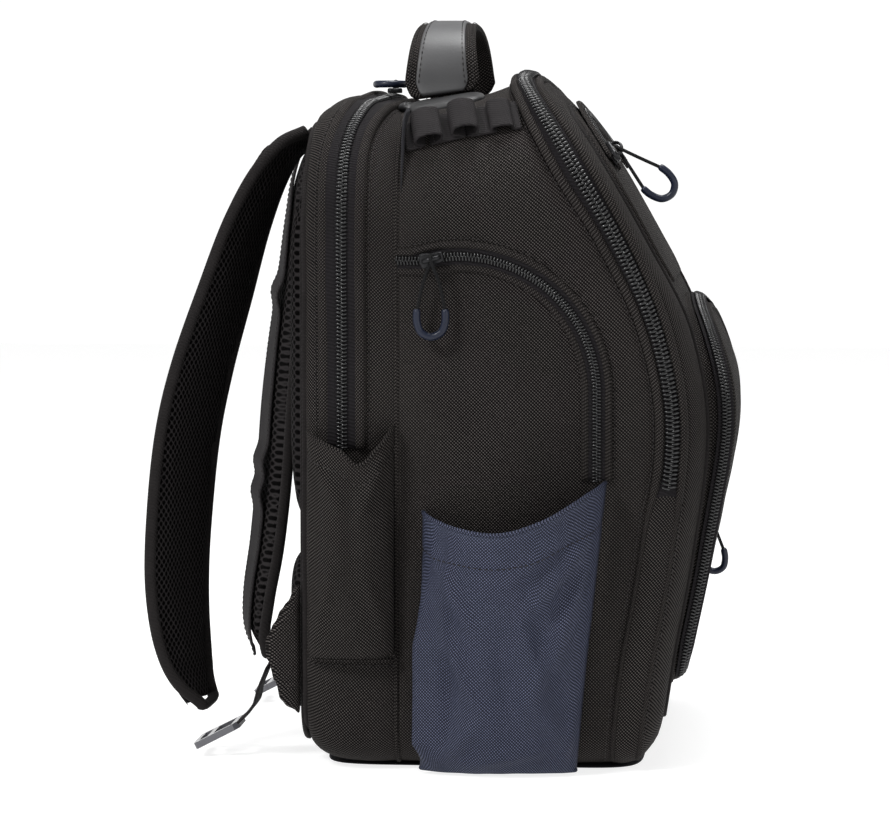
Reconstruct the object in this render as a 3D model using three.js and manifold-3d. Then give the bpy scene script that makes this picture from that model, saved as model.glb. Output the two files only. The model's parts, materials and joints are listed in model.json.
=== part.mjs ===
// Backpack with a racket-width rear compartment: hollow sewn compartments, pockets, zippers with
// sliding pulls, padded shoulder straps with ladder-lock adjusters, and a moulded haul handle.
// Millimetres, +Z up, +X towards the front pockets, -X towards the wearer's back.
import * as THREE from 'three';
import { mergeVertices } from 'three/addons/utils/BufferGeometryUtils.js';
import Module from 'manifold-3d';

const wasm = await Module();
wasm.setup();

// ---------------------------------------------------------------- driving dimensions
const WALL = 2.6;               // padded cloth wall
const GAP = 0.4;                // space between neighbouring solids
const BODY_HALF = 155;          // half the width of the bag
const BODY_TOP = 390;           // top of the compartments
const BASE_THICK = 2.7;         // base panel under the compartments
const REAR_X = -67;             // rear edge of the rear compartment
const SEAM_X = -12;             // seam between the rear and the main compartment
const PANEL_THICK = 2.4;        // back panel board
const STRAP_THICK = 12;
const STRAP_WIDTH = 64;
const WEBBING_WIDTH = 25;
const WEBBING_THICK = 1.8;
const CORD_RADIUS = 1.05;
const GRIP_RADIUS = 2.2;
const GRIP_HALF = 8.2;          // half the width of a pull's U grip
const GRIP_TALL = 16;
const SIDES = { left: -1, right: 1 };
const AXIS = {
  x: new THREE.Vector3(1, 0, 0), y: new THREE.Vector3(0, 1, 0), z: new THREE.Vector3(0, 0, 1),
};
const DOWN = AXIS.z.clone().negate();
const sideways = (side) => new THREE.Vector3(0, side, 0);

// ---------------------------------------------------------------- materials
const paint = (color, roughness, metalness = 0) =>
  new THREE.MeshStandardMaterial({ color, roughness, metalness });
const TWILL = paint(0x25211f, 0.85);
const NAVY_TWILL = paint(0x2f3750, 0.85);
const AIR_MESH = paint(0x151313, 0.95);
const ZIPPER = paint(0x17161a, 0.4);
const SLIDER = paint(0x1a1a1d, 0.3);
const CORD = paint(0x161618, 0.8);
const NAVY_RUBBER = paint(0x26304f, 0.5);
const HANDLE_RUBBER = paint(0x4a4a4d, 0.55);
const WEBBING = paint(0x1c1a1c, 0.8);
const BUCKLE = paint(0x5d5d64, 0.3);
const LINING = paint(0x3a3a3f, 0.9);

// ---------------------------------------------------------------- solids and meshes
const bag = new THREE.Group();

function closedGeometry(positions, index) {
  const geometry = new THREE.BufferGeometry();
  geometry.setAttribute('position', new THREE.Float32BufferAttribute(positions, 3));
  geometry.setIndex(signedVolume(positions, index) < 0 ? index.toReversed() : index);
  return geometry;
}

function signedVolume(positions, index) {
  const corner = (i) => new THREE.Vector3().fromArray(positions, 3 * i);
  let six = 0;
  for (let i = 0; i < index.length; i += 3) {
    six += corner(index[i]).dot(corner(index[i + 1]).cross(corner(index[i + 2])));
  }
  return six / 6;
}

function toManifold(geometry) {
  const bare = geometry.clone();
  bare.deleteAttribute('normal');
  bare.deleteAttribute('uv');
  const merged = mergeVertices(bare, 1e-3);
  return new wasm.Manifold(new wasm.Mesh({
    numProp: 3,
    vertProperties: new Float32Array(merged.attributes.position.array),
    triVerts: new Uint32Array(merged.index.array),
  }));
}

function fromManifold(manifold) {
  const mesh = manifold.getMesh();
  return closedGeometry(Array.from(mesh.vertProperties), Array.from(mesh.triVerts));
}

function cut(body, ...tools) {
  return fromManifold(tools.reduce((left, tool) => left.subtract(toManifold(tool)), toManifold(body)));
}

function join(body, ...others) {
  return fromManifold(others.reduce((sum, other) => sum.add(toManifold(other)), toManifold(body)));
}

function block(low, high) {
  const geometry = new THREE.BoxGeometry(high[0] - low[0], high[1] - low[1], high[2] - low[2]);
  return geometry.translate((low[0] + high[0]) / 2, (low[1] + high[1]) / 2, (low[2] + high[2]) / 2);
}

function add(name, geometry, material) {
  const mesh = new THREE.Mesh(geometry, material);
  mesh.name = name;
  bag.add(mesh);
  return mesh;
}

// the same solid on the other side of the bag, with its faces still pointing out
function onSide(geometry, side) {
  return side < 0 ? geometry : mirrored(geometry);
}

function mirrored(geometry) {
  const whole = mergeVertices(geometry.clone().deleteAttribute('normal').deleteAttribute('uv'), 1e-4);
  const positions = Array.from(whole.attributes.position.array, (v, i) => (i % 3 === 1 ? -v : v));
  return closedGeometry(positions, Array.from(whole.index.array));
}

// ---------------------------------------------------------------- curves
// x (or any value) as a smooth function of z through [z, value] points
function along(points) {
  const slope = (i) => {
    const a = points[Math.max(i - 1, 0)];
    const b = points[Math.min(i + 1, points.length - 1)];
    return (b[1] - a[1]) / (b[0] - a[0]);
  };
  return (z) => {
    let i = 0;
    while (i < points.length - 2 && z > points[i + 1][0]) i += 1;
    const [z0, v0] = points[i];
    const [z1, v1] = points[i + 1];
    const span = z1 - z0;
    const t = THREE.MathUtils.clamp((z - z0) / span, 0, 1);
    const h = (2 * t ** 3 - 3 * t ** 2 + 1) * v0 + (t ** 3 - 2 * t ** 2 + t) * span * slope(i);
    return h + (-2 * t ** 3 + 3 * t ** 2) * v1 + (t ** 3 - t ** 2) * span * slope(i + 1);
  };
}

// side view of the two seams that hold the main zipper, rear seam and front seam
const zipRear = along([[0, 112], [61, 118], [125, 129], [200, 138], [256, 128], [309, 103],
  [347, 79], [404, 47]]);
const zipFront = along([[0, 127], [61, 136], [125, 147], [200, 155], [256, 146], [309, 125],
  [362, 95], [404, 64]]);
// the organiser's depth in front of the main zipper, less near its top
const frontDepth = along([[0, 12], [255, 12], [310, 6.5], [404, 5.5]]);
const organiserX = (part) => (z) => zipFront(z) + part * frontDepth(z);
const faceX = organiserX(1);
const flat = (x) => () => x;
const mix = (a, b, t) => (z) => a(z) * (1 - t) + b(z) * t;

// ---------------------------------------------------------------- bag sections
const LOW_STEPS = 2;
const WALL_STEPS = 7;
const TOP_STEPS = 5;
const CROWN_STEPS = 2;

// half of an upright section, from its floor up the -Y side to the middle of its top
function halfOutline({ half, low, high, lowCorner = 22, topCorner = 68, crown = 5 }) {
  const points = [];
  for (let i = 0; i <= LOW_STEPS; i += 1) {
    const a = (i / LOW_STEPS) * (Math.PI / 2);
    points.push([-(half - lowCorner + lowCorner * Math.sin(a)), low + lowCorner * (1 - Math.cos(a))]);
  }
  const wallTop = high - crown - topCorner;
  for (let i = 1; i < WALL_STEPS; i += 1) {
    points.push([-half, THREE.MathUtils.lerp(low + lowCorner, wallTop, i / WALL_STEPS)]);
  }
  for (let i = 0; i <= TOP_STEPS; i += 1) {
    const a = (i / TOP_STEPS) * (Math.PI / 2);
    points.push([-(half - topCorner + topCorner * Math.cos(a)), wallTop + topCorner * Math.sin(a)]);
  }
  const flatHalf = half - topCorner;
  for (let i = 1; i <= CROWN_STEPS; i += 1) {
    const y = flatHalf * (1 - i / (CROWN_STEPS + 0.5));
    points.push([-y, high - crown * (y / flatHalf) ** 2]);
  }
  return points;
}

function ring(section) {
  const half = halfOutline(section).map(([y, z]) => new THREE.Vector3(section.x(z), y, z));
  const other = half.map((p) => new THREE.Vector3(p.x, -p.y, p.z)).reverse();
  return [...half, ...other];
}

// solid through closed rings; each end is filled by strips across the ring
function loft(rings) {
  const count = rings[0].length;
  const positions = rings.flat().flatMap((p) => p.toArray());
  const index = [];
  for (let r = 0; r + 1 < rings.length; r += 1) {
    for (let i = 0; i < count; i += 1) {
      const a = r * count + i;
      const b = r * count + ((i + 1) % count);
      index.push(a, b, b + count, a, b + count, a + count);
    }
  }
  const last = (rings.length - 1) * count;
  for (let i = 0; i + 1 < count / 2; i += 1) {
    const j = count - 1 - i;
    index.push(i, j, i + 1, i + 1, j, j - 1);
    index.push(last + i, last + i + 1, last + j, last + i + 1, last + j - 1, last + j);
  }
  return closedGeometry(positions, index);
}

const inset = (section, wall) => ({
  ...section,
  half: section.half - wall,
  low: section.low + wall,
  high: section.high - wall,
  lowCorner: Math.max((section.lowCorner ?? 22) - wall, 2),
  topCorner: Math.max((section.topCorner ?? 68) - wall, 2),
});
const shifted = (section, dx) => ({ ...section, x: (z) => section.x(z) + dx });
const solid = (sections) => loft(sections.map(ring));

// open ring of cloth: the sections' skin, with the core taken out through both ends
function sleeve(sections, wall) {
  const core = sections.map((s) => inset(s, wall));
  const reach = 5;
  return cut(solid(sections),
    solid([shifted(core[0], -reach), ...core, shifted(core.at(-1), reach)]));
}

// tray of cloth: open at the rear, closed at the front by a face as thick as the wall;
// its core follows the first few sections and ends behind the face
function tray(sections, wall, followed) {
  const core = sections.map((s) => inset(s, wall));
  const face = shifted(core.at(-1), -wall);
  return cut(solid(sections), solid([shifted(core[0], -5), ...core.slice(0, followed), face]));
}

// ---------------------------------------------------------------- compartments
const LOW = BASE_THICK + GAP;
const rearSections = [
  { x: flat(REAR_X), half: 143, low: 12, high: 380 },
  { x: flat(REAR_X + 5), half: 150, low: LOW + 2, high: 388 },
  { x: flat(REAR_X + 17), half: 154, low: LOW, high: 393 },
  { x: flat(REAR_X + 36), half: BODY_HALF, low: LOW, high: 393 },
  { x: flat(SEAM_X), half: 153, low: LOW, high: BODY_TOP },
];
const mainSections = [
  { x: flat(SEAM_X + GAP), half: 153, low: LOW, high: BODY_TOP },
  { x: mix(flat(SEAM_X), zipRear, 0.3), half: BODY_HALF, low: LOW, high: BODY_TOP + 1 },
  { x: mix(flat(SEAM_X), zipRear, 0.7), half: 153, low: LOW, high: BODY_TOP + 6 },
  { x: zipRear, half: 149, low: LOW, high: 403 },
];
const bandSections = [
  { x: (z) => zipRear(z) + GAP, half: 149, low: LOW, high: 404 },
  { x: mix(zipRear, zipFront, 0.5), half: 150, low: LOW, high: 408 },
  { x: zipFront, half: 147, low: LOW, high: 404 },
];
const organiserSections = [
  { x: (z) => zipFront(z) + GAP, half: 146, low: LOW, high: 403 },
  { x: organiserX(0.3), half: 143, low: LOW + 2, high: 402 },
  { x: organiserX(0.75), half: 132, low: 11, high: 397 },
  { x: faceX, half: 118, low: 20, high: 388, topCorner: 55 },
];
const pocketDepth = along([[40, 8], [110, 10], [160, 12], [225, 17], [275, 12]]);
const pocketSections = [
  { x: (z) => faceX(z) + GAP, half: 113, low: 46, high: 273, topCorner: 58 },
  { x: (z) => faceX(z) + pocketDepth(z) * 0.75, half: 111, low: 49, high: 271, topCorner: 56 },
  { x: (z) => faceX(z) + pocketDepth(z), half: 103, low: 56, high: 264, topCorner: 50 },
];

add('rear_shell', sleeve(rearSections, WALL), TWILL);
add('main_shell', sleeve(mainSections, WALL), TWILL);
add('main_zipper', sleeve(bandSections, WALL), ZIPPER);
add('organiser_shell', tray(organiserSections, WALL, 2), TWILL);

// wall between the rear and the main compartment
function divider() {
  const board = { ...inset(mainSections[0], WALL + GAP) };
  return solid([{ ...board, x: flat(SEAM_X + 1) }, { ...board, x: flat(SEAM_X + 4) }]);
}
add('divider_wall', divider(), LINING);

// padded sleeve behind the divider, sewn to the sides of the rear compartment
const SLEEVE_DEPTH = 23;
function sleevePocket() {
  const board = { half: 150, low: 6.5, high: 270, lowCorner: 21, topCorner: 21, crown: 1 };
  return solid([SEAM_X - SLEEVE_DEPTH - 3, SEAM_X - SLEEVE_DEPTH].map((x) => ({ ...board, x: flat(x) })));
}
add('laptop_sleeve', sleevePocket(), LINING);

// ---------------------------------------------------------------- front pockets
const zipCut = (low) => block([-400, -300, -50], [400, 300, low]);

add('lower_pocket_shell', tray(pocketSections, 1.6, 2), TWILL);

// chain that runs round the lower pocket's gusset, open at the bottom
function lowerPocketZipper() {
  const outer = [0.3, 0.7].map((t) => ({
    x: (z) => faceX(z) + pocketDepth(z) * t,
    half: 113 + GAP + 1.6, low: 44, high: 273 + GAP + 1.6, topCorner: 60,
  }));
  return cut(sleeve(outer, 1.6), zipCut(54));
}
add('lower_pocket_zipper', lowerPocketZipper(), ZIPPER);

// panel of the upper pocket, sewn onto the organiser's face
function upperPanel() {
  const panel = { half: 96, low: 284, high: 388, topCorner: 52, lowCorner: 12, crown: 4 };
  return solid([1, 3.2].map((d) => ({ ...panel, x: (z) => faceX(z) + d })));
}
add('upper_pocket_panel', upperPanel(), TWILL);

// the upper pocket's chain is an arc in a plane that leans back with the face
const ARCH_RADIUS = 100;
const ARCH_HALF_ANGLE = THREE.MathUtils.degToRad(50);
const ARCH_TOP_Z = 384;
const ARCH_LOW_Z = 352;
const ARCH_LIFT = 5.2;
const archTop = new THREE.Vector3(faceX(ARCH_TOP_Z) + ARCH_LIFT, 0, ARCH_TOP_Z);
const archDown = new THREE.Vector3(faceX(ARCH_LOW_Z) - faceX(ARCH_TOP_Z), 0, ARCH_LOW_Z - ARCH_TOP_Z)
  .normalize();
const archCentre = archTop.clone().addScaledVector(archDown, ARCH_RADIUS);
const archNormal = new THREE.Vector3(0, -1, 0).cross(archDown).normalize();

// frame whose local +Y is out of the surface, +X along the chain and +Z across it
function place(geometry, origin, chain, out) {
  const x = chain.clone().normalize();
  const y = out.clone().addScaledVector(x, -out.dot(x)).normalize();
  const z = new THREE.Vector3().crossVectors(x, y);
  const matrix = new THREE.Matrix4().makeBasis(x, y, z).setPosition(origin);
  return geometry.clone().applyMatrix4(matrix);
}

// flat arc of tape, drawn in local X (tangent) and Z with its centre at the origin
function arcStrip(radius, from, to, wide, thick, steps) {
  const shape = new THREE.Shape();
  shape.absarc(0, 0, radius + wide / 2, from, to, from > to);
  shape.absarc(0, 0, radius - wide / 2, to, from, to > from);
  shape.closePath();
  return new THREE.ExtrudeGeometry(shape, { depth: thick, bevelEnabled: false, curveSegments: steps });
}

function upperZipper() {
  const quarter = Math.PI / 2;
  const strip = arcStrip(ARCH_RADIUS, quarter - ARCH_HALF_ANGLE, quarter + ARCH_HALF_ANGLE, 11, 1.4, 14);
  const across = new THREE.Vector3(0, 1, 0);
  const matrix = new THREE.Matrix4().makeBasis(across, archDown.clone().negate(),
    new THREE.Vector3().crossVectors(across, archDown.clone().negate()));
  return strip.applyMatrix4(matrix.setPosition(archCentre));
}
add('upper_pocket_zipper', upperZipper(), ZIPPER);

// ---------------------------------------------------------------- rear zipper
const rearZipX = along([[190, -43], [350, -43], [372, -40], [388, -33], [394, -27]]);

function rearZipper() {
  const sections = [-6, 6].map((dx) => ({
    x: (z) => rearZipX(z) + dx, half: BODY_HALF + GAP + 1.6, low: -10, high: 396.2, topCorner: 68,
  }));
  return cut(sleeve(sections, 1.6), zipCut(206));
}
add('rear_zipper', rearZipper(), ZIPPER);

// ---------------------------------------------------------------- base and back panel
function basePanel() {
  const shape = new THREE.Shape();
  const rear = REAR_X + 9;
  const front = zipFront(0) + 4;
  const half = 138;
  const r = 26;
  shape.moveTo(rear + r, -half);
  shape.lineTo(front - r, -half);
  shape.quadraticCurveTo(front, -half, front, -half + r);
  shape.lineTo(front, half - r);
  shape.quadraticCurveTo(front, half, front - r, half);
  shape.lineTo(rear + r, half);
  shape.quadraticCurveTo(rear, half, rear, half - r);
  shape.lineTo(rear, -half + r);
  shape.quadraticCurveTo(rear, -half, rear + r, -half);
  return new THREE.ExtrudeGeometry(shape, { depth: BASE_THICK, bevelEnabled: false, curveSegments: 4 });
}
add('base_panel', basePanel(), TWILL);

function backPanel() {
  const panel = { half: 137, low: 16, high: 364, topCorner: 60 };
  return solid([REAR_X - GAP - PANEL_THICK, REAR_X - GAP].map((x) => ({ ...panel, x: flat(x) })));
}
add('back_panel', backPanel(), AIR_MESH);

const PAD_FRONT = REAR_X - GAP - PANEL_THICK - GAP;

// softly crowned pad on the back panel, between y0 and y1 and z0 and z1
function backPad(y0, y1, z0, z1, thick, corner) {
  const middle = (y0 + y1) / 2;
  const panel = {
    half: (y1 - y0) / 2, low: z0, high: z1, lowCorner: corner, topCorner: corner, crown: 2,
  };
  const layers = [[0, 0], [0.55, 0], [0.9, 4], [1, 10]];
  const sections = layers.map(([t, d]) => ({ ...inset(panel, d), x: flat(PAD_FRONT - t * thick) }));
  return solid(sections).translate(0, middle, 0);
}
add('back_pad_left', backPad(-128, -14, 136, 346, 11, 24), AIR_MESH);
add('back_pad_right', backPad(14, 128, 136, 346, 11, 24), AIR_MESH);
add('lumbar_pad', backPad(-124, 124, 24, 128, 16, 24), AIR_MESH);

// ---------------------------------------------------------------- side pockets and zippers
const SIDE_Y = BODY_HALF + GAP + 0.6;       // plane of what is sewn onto the side
const ARC_X = 25;                           // accessory pocket chain: centre and radius
const ARC_Z = 222;
const ARC_RADIUS = 79;
const ARC_START = THREE.MathUtils.degToRad(105);
const TAIL_LOW = 172;                       // lower end of the chain's straight tail

function sideZipper() {
  const wide = 9;
  const shape = new THREE.Shape();
  shape.moveTo(ARC_RADIUS + wide / 2, TAIL_LOW - ARC_Z);
  shape.absarc(0, 0, ARC_RADIUS + wide / 2, 0, ARC_START, false);
  shape.absarc(0, 0, ARC_RADIUS - wide / 2, ARC_START, 0, true);
  shape.lineTo(ARC_RADIUS - wide / 2, TAIL_LOW - ARC_Z);
  shape.closePath();
  const strip = new THREE.ExtrudeGeometry(shape, { depth: 1.5, bevelEnabled: false, curveSegments: 16 });
  return strip.rotateX(Math.PI / 2).translate(ARC_X, -SIDE_Y, ARC_Z);
}

// pocket of cloth open at the top: the bulge of one side, hollowed from above
function openPocket({ rear, front, low, high, bulge, wall, skin }) {
  const steps = 10;
  const levels = 5;
  const outline = (t, grow) => {
    const z = THREE.MathUtils.lerp(low, high, t);
    const points = [];
    for (let i = 0; i <= steps; i += 1) {
      const u = i / steps;
      const x = THREE.MathUtils.lerp(rear(z) + grow, front(z) - grow, u);
      const y = -(skin + (bulge(t) - grow) * Math.sin(Math.PI * u) ** 0.55);
      points.push(new THREE.Vector3(x, y, z));
    }
    return points;
  };
  const stack = (grow, from, inner) => {
    const rings = [];
    for (let k = 0; k <= levels; k += 1) {
      const t = THREE.MathUtils.lerp(from, 1, k / levels);
      const points = outline(t, grow);
      const a = points[0];
      const b = points.at(-1);
      const lift = inner && k === levels ? 12 : 0;
      rings.push(points.map((p) => p.clone().setZ(p.z + lift)));
      const y = inner ? -skin - 0.01 : -skin;
      rings.at(-1)[0] = new THREE.Vector3(a.x, y, a.z + lift);
      rings.at(-1)[steps] = new THREE.Vector3(b.x, y, b.z + lift);
    }
    return fanLoft(rings);
  };
  const floor = wall / (high - low) * 1.2;
  return cut(stack(0, 0, false), stack(wall, floor, true));
}

// solid through closed rings, with each end filled by a fan from the ring's first point
function fanLoft(rings) {
  const count = rings[0].length;
  const positions = rings.flat().flatMap((p) => p.toArray());
  const index = [];
  for (let r = 0; r + 1 < rings.length; r += 1) {
    for (let i = 0; i < count; i += 1) {
      const a = r * count + i;
      const b = r * count + ((i + 1) % count);
      index.push(a, b, b + count, a, b + count, a + count);
    }
  }
  const last = (rings.length - 1) * count;
  for (let i = 1; i + 1 < count; i += 1) {
    index.push(0, i + 1, i, last, last + i, last + i + 1);
  }
  return closedGeometry(positions, index);
}

const bottlePocket = () => openPocket({
  rear: (z) => 2 + 0.01 * z,
  front: along([[0, 93], [66, 99], [102, 103], [168, 110]]),
  low: 2, high: 160, bulge: (t) => 9 + 37 * t ** 0.7, wall: 1.6, skin: SIDE_Y + 0.4,
});
const umbrellaPocket = () => openPocket({
  rear: flat(REAR_X + 6), front: flat(SEAM_X - 2), low: 70, high: 200,
  bulge: (t) => 12 + 12 * t, wall: 1.4, skin: SIDE_Y + 0.4,
});

// padded triangle at the lower rear corner that carries the lower strap webbing
function wing() {
  const root = REAR_X - GAP;
  const shape = new THREE.Shape();
  shape.moveTo(root, 26);
  shape.quadraticCurveTo(-84, 30, -87, 48);
  shape.quadraticCurveTo(-95, 66, -93, 76);
  shape.quadraticCurveTo(-86, 92, root, 118);
  shape.closePath();
  const pad = new THREE.ExtrudeGeometry(shape, { depth: 6, bevelEnabled: false, curveSegments: 4 });
  return pad.rotateX(Math.PI / 2).translate(0, -138.5, 0);
}

// webbing with standing loops, sewn along the shoulder of the main compartment
const DAISY = {
  length: 67.5, loops: 3, width: 25,
  from: new THREE.Vector3(-9, -132.2, 371.8), to: new THREE.Vector3(57, -127, 385),
  out: new THREE.Vector3(0, -0.643, 0.766),
};

function daisyChain() {
  const pitch = DAISY.length / DAISY.loops;
  const top = [new THREE.Vector2(0, WEBBING_THICK)];
  const under = [];
  for (let i = 0; i < DAISY.loops; i += 1) {
    const at = (part, out) => new THREE.Vector2((i + part) * pitch, out);
    top.push(at(0.25, WEBBING_THICK), at(0.42, 5.5), at(0.7, 5.5), at(0.88, WEBBING_THICK));
    under.push(at(0.3, 0), at(0.44, 3.7), at(0.68, 3.7), at(0.83, 0));
  }
  const end = [new THREE.Vector2(DAISY.length, WEBBING_THICK), new THREE.Vector2(DAISY.length, 0)];
  const shape = new THREE.Shape([...top, ...end, ...under.reverse(), new THREE.Vector2(0, 0)]);
  const strip = new THREE.ExtrudeGeometry(shape, { depth: DAISY.width, bevelEnabled: false });
  strip.translate(0, 0, -DAISY.width / 2);
  return place(strip, DAISY.from, DAISY.to.clone().sub(DAISY.from), DAISY.out);
}

// ---------------------------------------------------------------- shoulder straps
// centre line of a strap in side view, from the top seam down to the ladder-lock
const STRAP_LINE = [[-73, 373], [-84, 365], [-97, 346], [-109, 318], [-122, 276], [-135, 232],
  [-143, 195], [-148, 150], [-150, 105], [-147, 70], [-141, 48], [-132, 33]];
const STRAP_Y = along([[0, 62], [0.2, 74], [0.5, 92], [1, 100]]);
const STRAP_ROLL = along([[0, 0], [0.25, 12], [0.5, 22], [0.85, 20], [1, 6]]);
const STRAP_SPREAD = along([[0, 0.8], [0.12, 1], [0.7, 1], [0.9, 0.78], [1, 0.5]]);

// the right strap hangs closer to the wearer's back than the left one
const STRAP_ROOT_X = -73;
const RIGHT_BOW = along([[33, 0.85], [120, 0.62], [250, 0.6], [320, 0.68], [346, 0.8], [373, 1]]);
const bowed = (x, z, side) => (side < 0 ? x : STRAP_ROOT_X + (x - STRAP_ROOT_X) * RIGHT_BOW(z));

function strapFrame(t, side) {
  const line = STRAP_LINE.map(([x, z]) => new THREE.Vector3(bowed(x, z, side), 0, z));
  const curve = new THREE.CatmullRomCurve3(line);
  const centre = curve.getPoint(t);
  const tangent = curve.getTangent(t);
  const roll = THREE.MathUtils.degToRad(STRAP_ROLL(t));
  const across = new THREE.Vector3(0, 1, 0);
  const out = new THREE.Vector3().crossVectors(tangent, across).normalize();
  if (out.x > 0) out.negate();
  const wide = across.clone().multiplyScalar(Math.cos(roll)).addScaledVector(out, -Math.sin(roll));
  const face = out.clone().multiplyScalar(Math.cos(roll)).addScaledVector(across, Math.sin(roll));
  centre.y = -STRAP_Y(t);
  return { centre, wide, face };
}

// band along the strap between t0 and t1, offset outwards from the strap's middle
function strapBand(side, t0, t1, steps, width, thick, offset, sides) {
  const rings = [];
  for (let i = 0; i <= steps; i += 1) {
    const t = THREE.MathUtils.lerp(t0, t1, i / steps);
    const { centre, wide, face } = strapFrame(t, side);
    const halfWide = width(t) / 2;
    const points = [];
    for (let k = 0; k < sides; k += 1) {
      const a = ((k + 0.5) / sides) * 2 * Math.PI;
      const c = Math.sign(Math.cos(a)) * Math.abs(Math.cos(a)) ** 0.35;
      const s = Math.sign(Math.sin(a)) * Math.abs(Math.sin(a)) ** 0.6;
      points.push(centre.clone().addScaledVector(wide, c * halfWide)
        .addScaledVector(face, offset + (s * thick) / 2));
    }
    rings.push(points);
  }
  return fanLoft(rings);
}

const strapWidth = (t) => STRAP_WIDTH * STRAP_SPREAD(t);
const strapPad = (side) => strapBand(side, 0, 1, 16, strapWidth, STRAP_THICK, 0, 8);
const strapWebbing = (side) => strapBand(side, 0.1, 0.985, 16, () => WEBBING_WIDTH - 2, WEBBING_THICK,
  STRAP_THICK / 2 + WEBBING_THICK / 2 + GAP, 4);

// moulded adjuster at the lower end of a strap
const LOCK = { x: -124, z: 13, y: -100, long: 29, wide: 34, thick: 4, tilt: -27 };

function ladderLock(side) {
  const shape = new THREE.Shape();
  const a = LOCK.long / 2;
  const b = LOCK.wide / 2;
  shape.moveTo(-a, -b + 3);
  shape.quadraticCurveTo(-a, -b, -a + 3, -b);
  shape.lineTo(a - 3, -b + 2);
  shape.lineTo(a, -b + 5);
  shape.lineTo(a, b - 5);
  shape.lineTo(a - 3, b - 2);
  shape.lineTo(-a + 3, b);
  shape.quadraticCurveTo(-a, b, -a, b - 3);
  shape.closePath();
  const slot = (x0, x1, rim) => {
    const hole = new THREE.Path();
    hole.moveTo(x0, -b + rim);
    hole.lineTo(x1, -b + rim);
    hole.lineTo(x1, b - rim);
    hole.lineTo(x0, b - rim);
    return hole;
  };
  shape.holes.push(slot(-a + 3.5, -a + 9, 4), slot(-a + 13, a - 4, 4.5));
  const frame = new THREE.ExtrudeGeometry(shape, { depth: LOCK.thick, bevelEnabled: false, curveSegments: 3 });
  return frame.translate(0, 0, -LOCK.thick / 2).rotateY(THREE.MathUtils.degToRad(LOCK.tilt))
    .translate(bowed(LOCK.x, LOCK.z, side), LOCK.y, LOCK.z);
}

// flat webbing swept along points, its width running across the bag
function webbingStrip(points, width, thick) {
  const curve = new THREE.CatmullRomCurve3(points.map((p) => new THREE.Vector3(...p)));
  const steps = 3 * points.length;
  const rings = [];
  for (let i = 0; i <= steps; i += 1) {
    const centre = curve.getPoint(i / steps);
    const tangent = curve.getTangent(i / steps);
    const out = new THREE.Vector3().crossVectors(tangent, new THREE.Vector3(0, 1, 0)).normalize();
    const corners = [[-1, -1], [1, -1], [1, 1], [-1, 1]];
    rings.push(corners.map(([w, h]) => centre.clone().add(new THREE.Vector3(0, (w * width) / 2, 0))
      .addScaledVector(out, (h * thick) / 2)));
  }
  return fanLoft(rings);
}
const LOWER_WEBBING = {
  left: [[-93.6, -117, 54], [-97, -114, 44], [-101, -109, 33], [-107, -103, 25]],
  right: [[-93.6, -117, 54], [-95, -114, 44], [-97, -109, 33], [-99.4, -103, 25]],
};
const lowerWebbing = (word) => webbingStrip(LOWER_WEBBING[word], 21, WEBBING_THICK);

// ---------------------------------------------------------------- haul handle
const HANDLE = { x: 7, span: 66, low: 401, rise: 37, thick: 7, baseWide: 44, topWide: 33 };

function handleGrip() {
  const steps = 18;
  const rings = [];
  for (let i = 0; i <= steps; i += 1) {
    const a = Math.PI * (1 - i / steps);
    const y = HANDLE.span * Math.sign(Math.cos(a)) * Math.abs(Math.cos(a)) ** 0.8;
    const z = HANDLE.low + HANDLE.rise * Math.sin(a) ** 0.75;
    const slopeY = -HANDLE.span * Math.sin(a);
    const slopeZ = HANDLE.rise * Math.cos(a);
    const normal = new THREE.Vector3(0, slopeZ, -slopeY).normalize().multiplyScalar(HANDLE.thick / 2);
    const half = THREE.MathUtils.lerp(HANDLE.baseWide, HANDLE.topWide, Math.sin(a)) / 2;
    const corners = [[-1, -0.5], [-0.8, -1], [0.8, -1], [1, -0.5], [1, 0.5], [0.8, 1], [-0.8, 1], [-1, 0.5]];
    rings.push(corners.map(([w, h]) => new THREE.Vector3(HANDLE.x + w * half, y + h * normal.y, z + h * normal.z)));
  }
  return fanLoft(rings);
}
add('haul_handle', handleGrip(), HANDLE_RUBBER);

// moulded foot of the handle, sewn onto the top of the main compartment
function handleFoot() {
  const half = HANDLE.baseWide / 2 + 3;
  const outline = [[-half, -9], [-half + 4, -13], [half - 4, -13], [half, -9], [half, 9], [half - 4, 13],
    [-half + 4, 13], [-half, 9]];
  const shape = new THREE.Shape(outline.map(([x, y]) => new THREE.Vector2(x, y)));
  const foot = new THREE.ExtrudeGeometry(shape, { depth: 3, bevelEnabled: false });
  return foot.rotateX(0.06).rotateY(-0.12).translate(HANDLE.x + 2, -HANDLE.span, HANDLE.low - 9.6);
}

// ---------------------------------------------------------------- zipper sliders and pulls
const SLIDER_TALL = 3;
const BAIL_WIRE = 0.9;
const BAIL_TOP = 7.4;           // bail wire above the slider's underside
const CORD_SLACK = 0.55;
const WRAP = BAIL_WIRE + CORD_RADIUS + CORD_SLACK;       // cord's turn round the bail wire
const EYE = BAIL_TOP - WRAP;                             // where the cord passes under the bail
const UNDER = 3;                // bend of a cord that goes straight under the bail
const CORD_DROP = 30;           // from the bail to the ends of the grip
const LEAD = 6;                 // the cord leaves along the slider for this far

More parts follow.
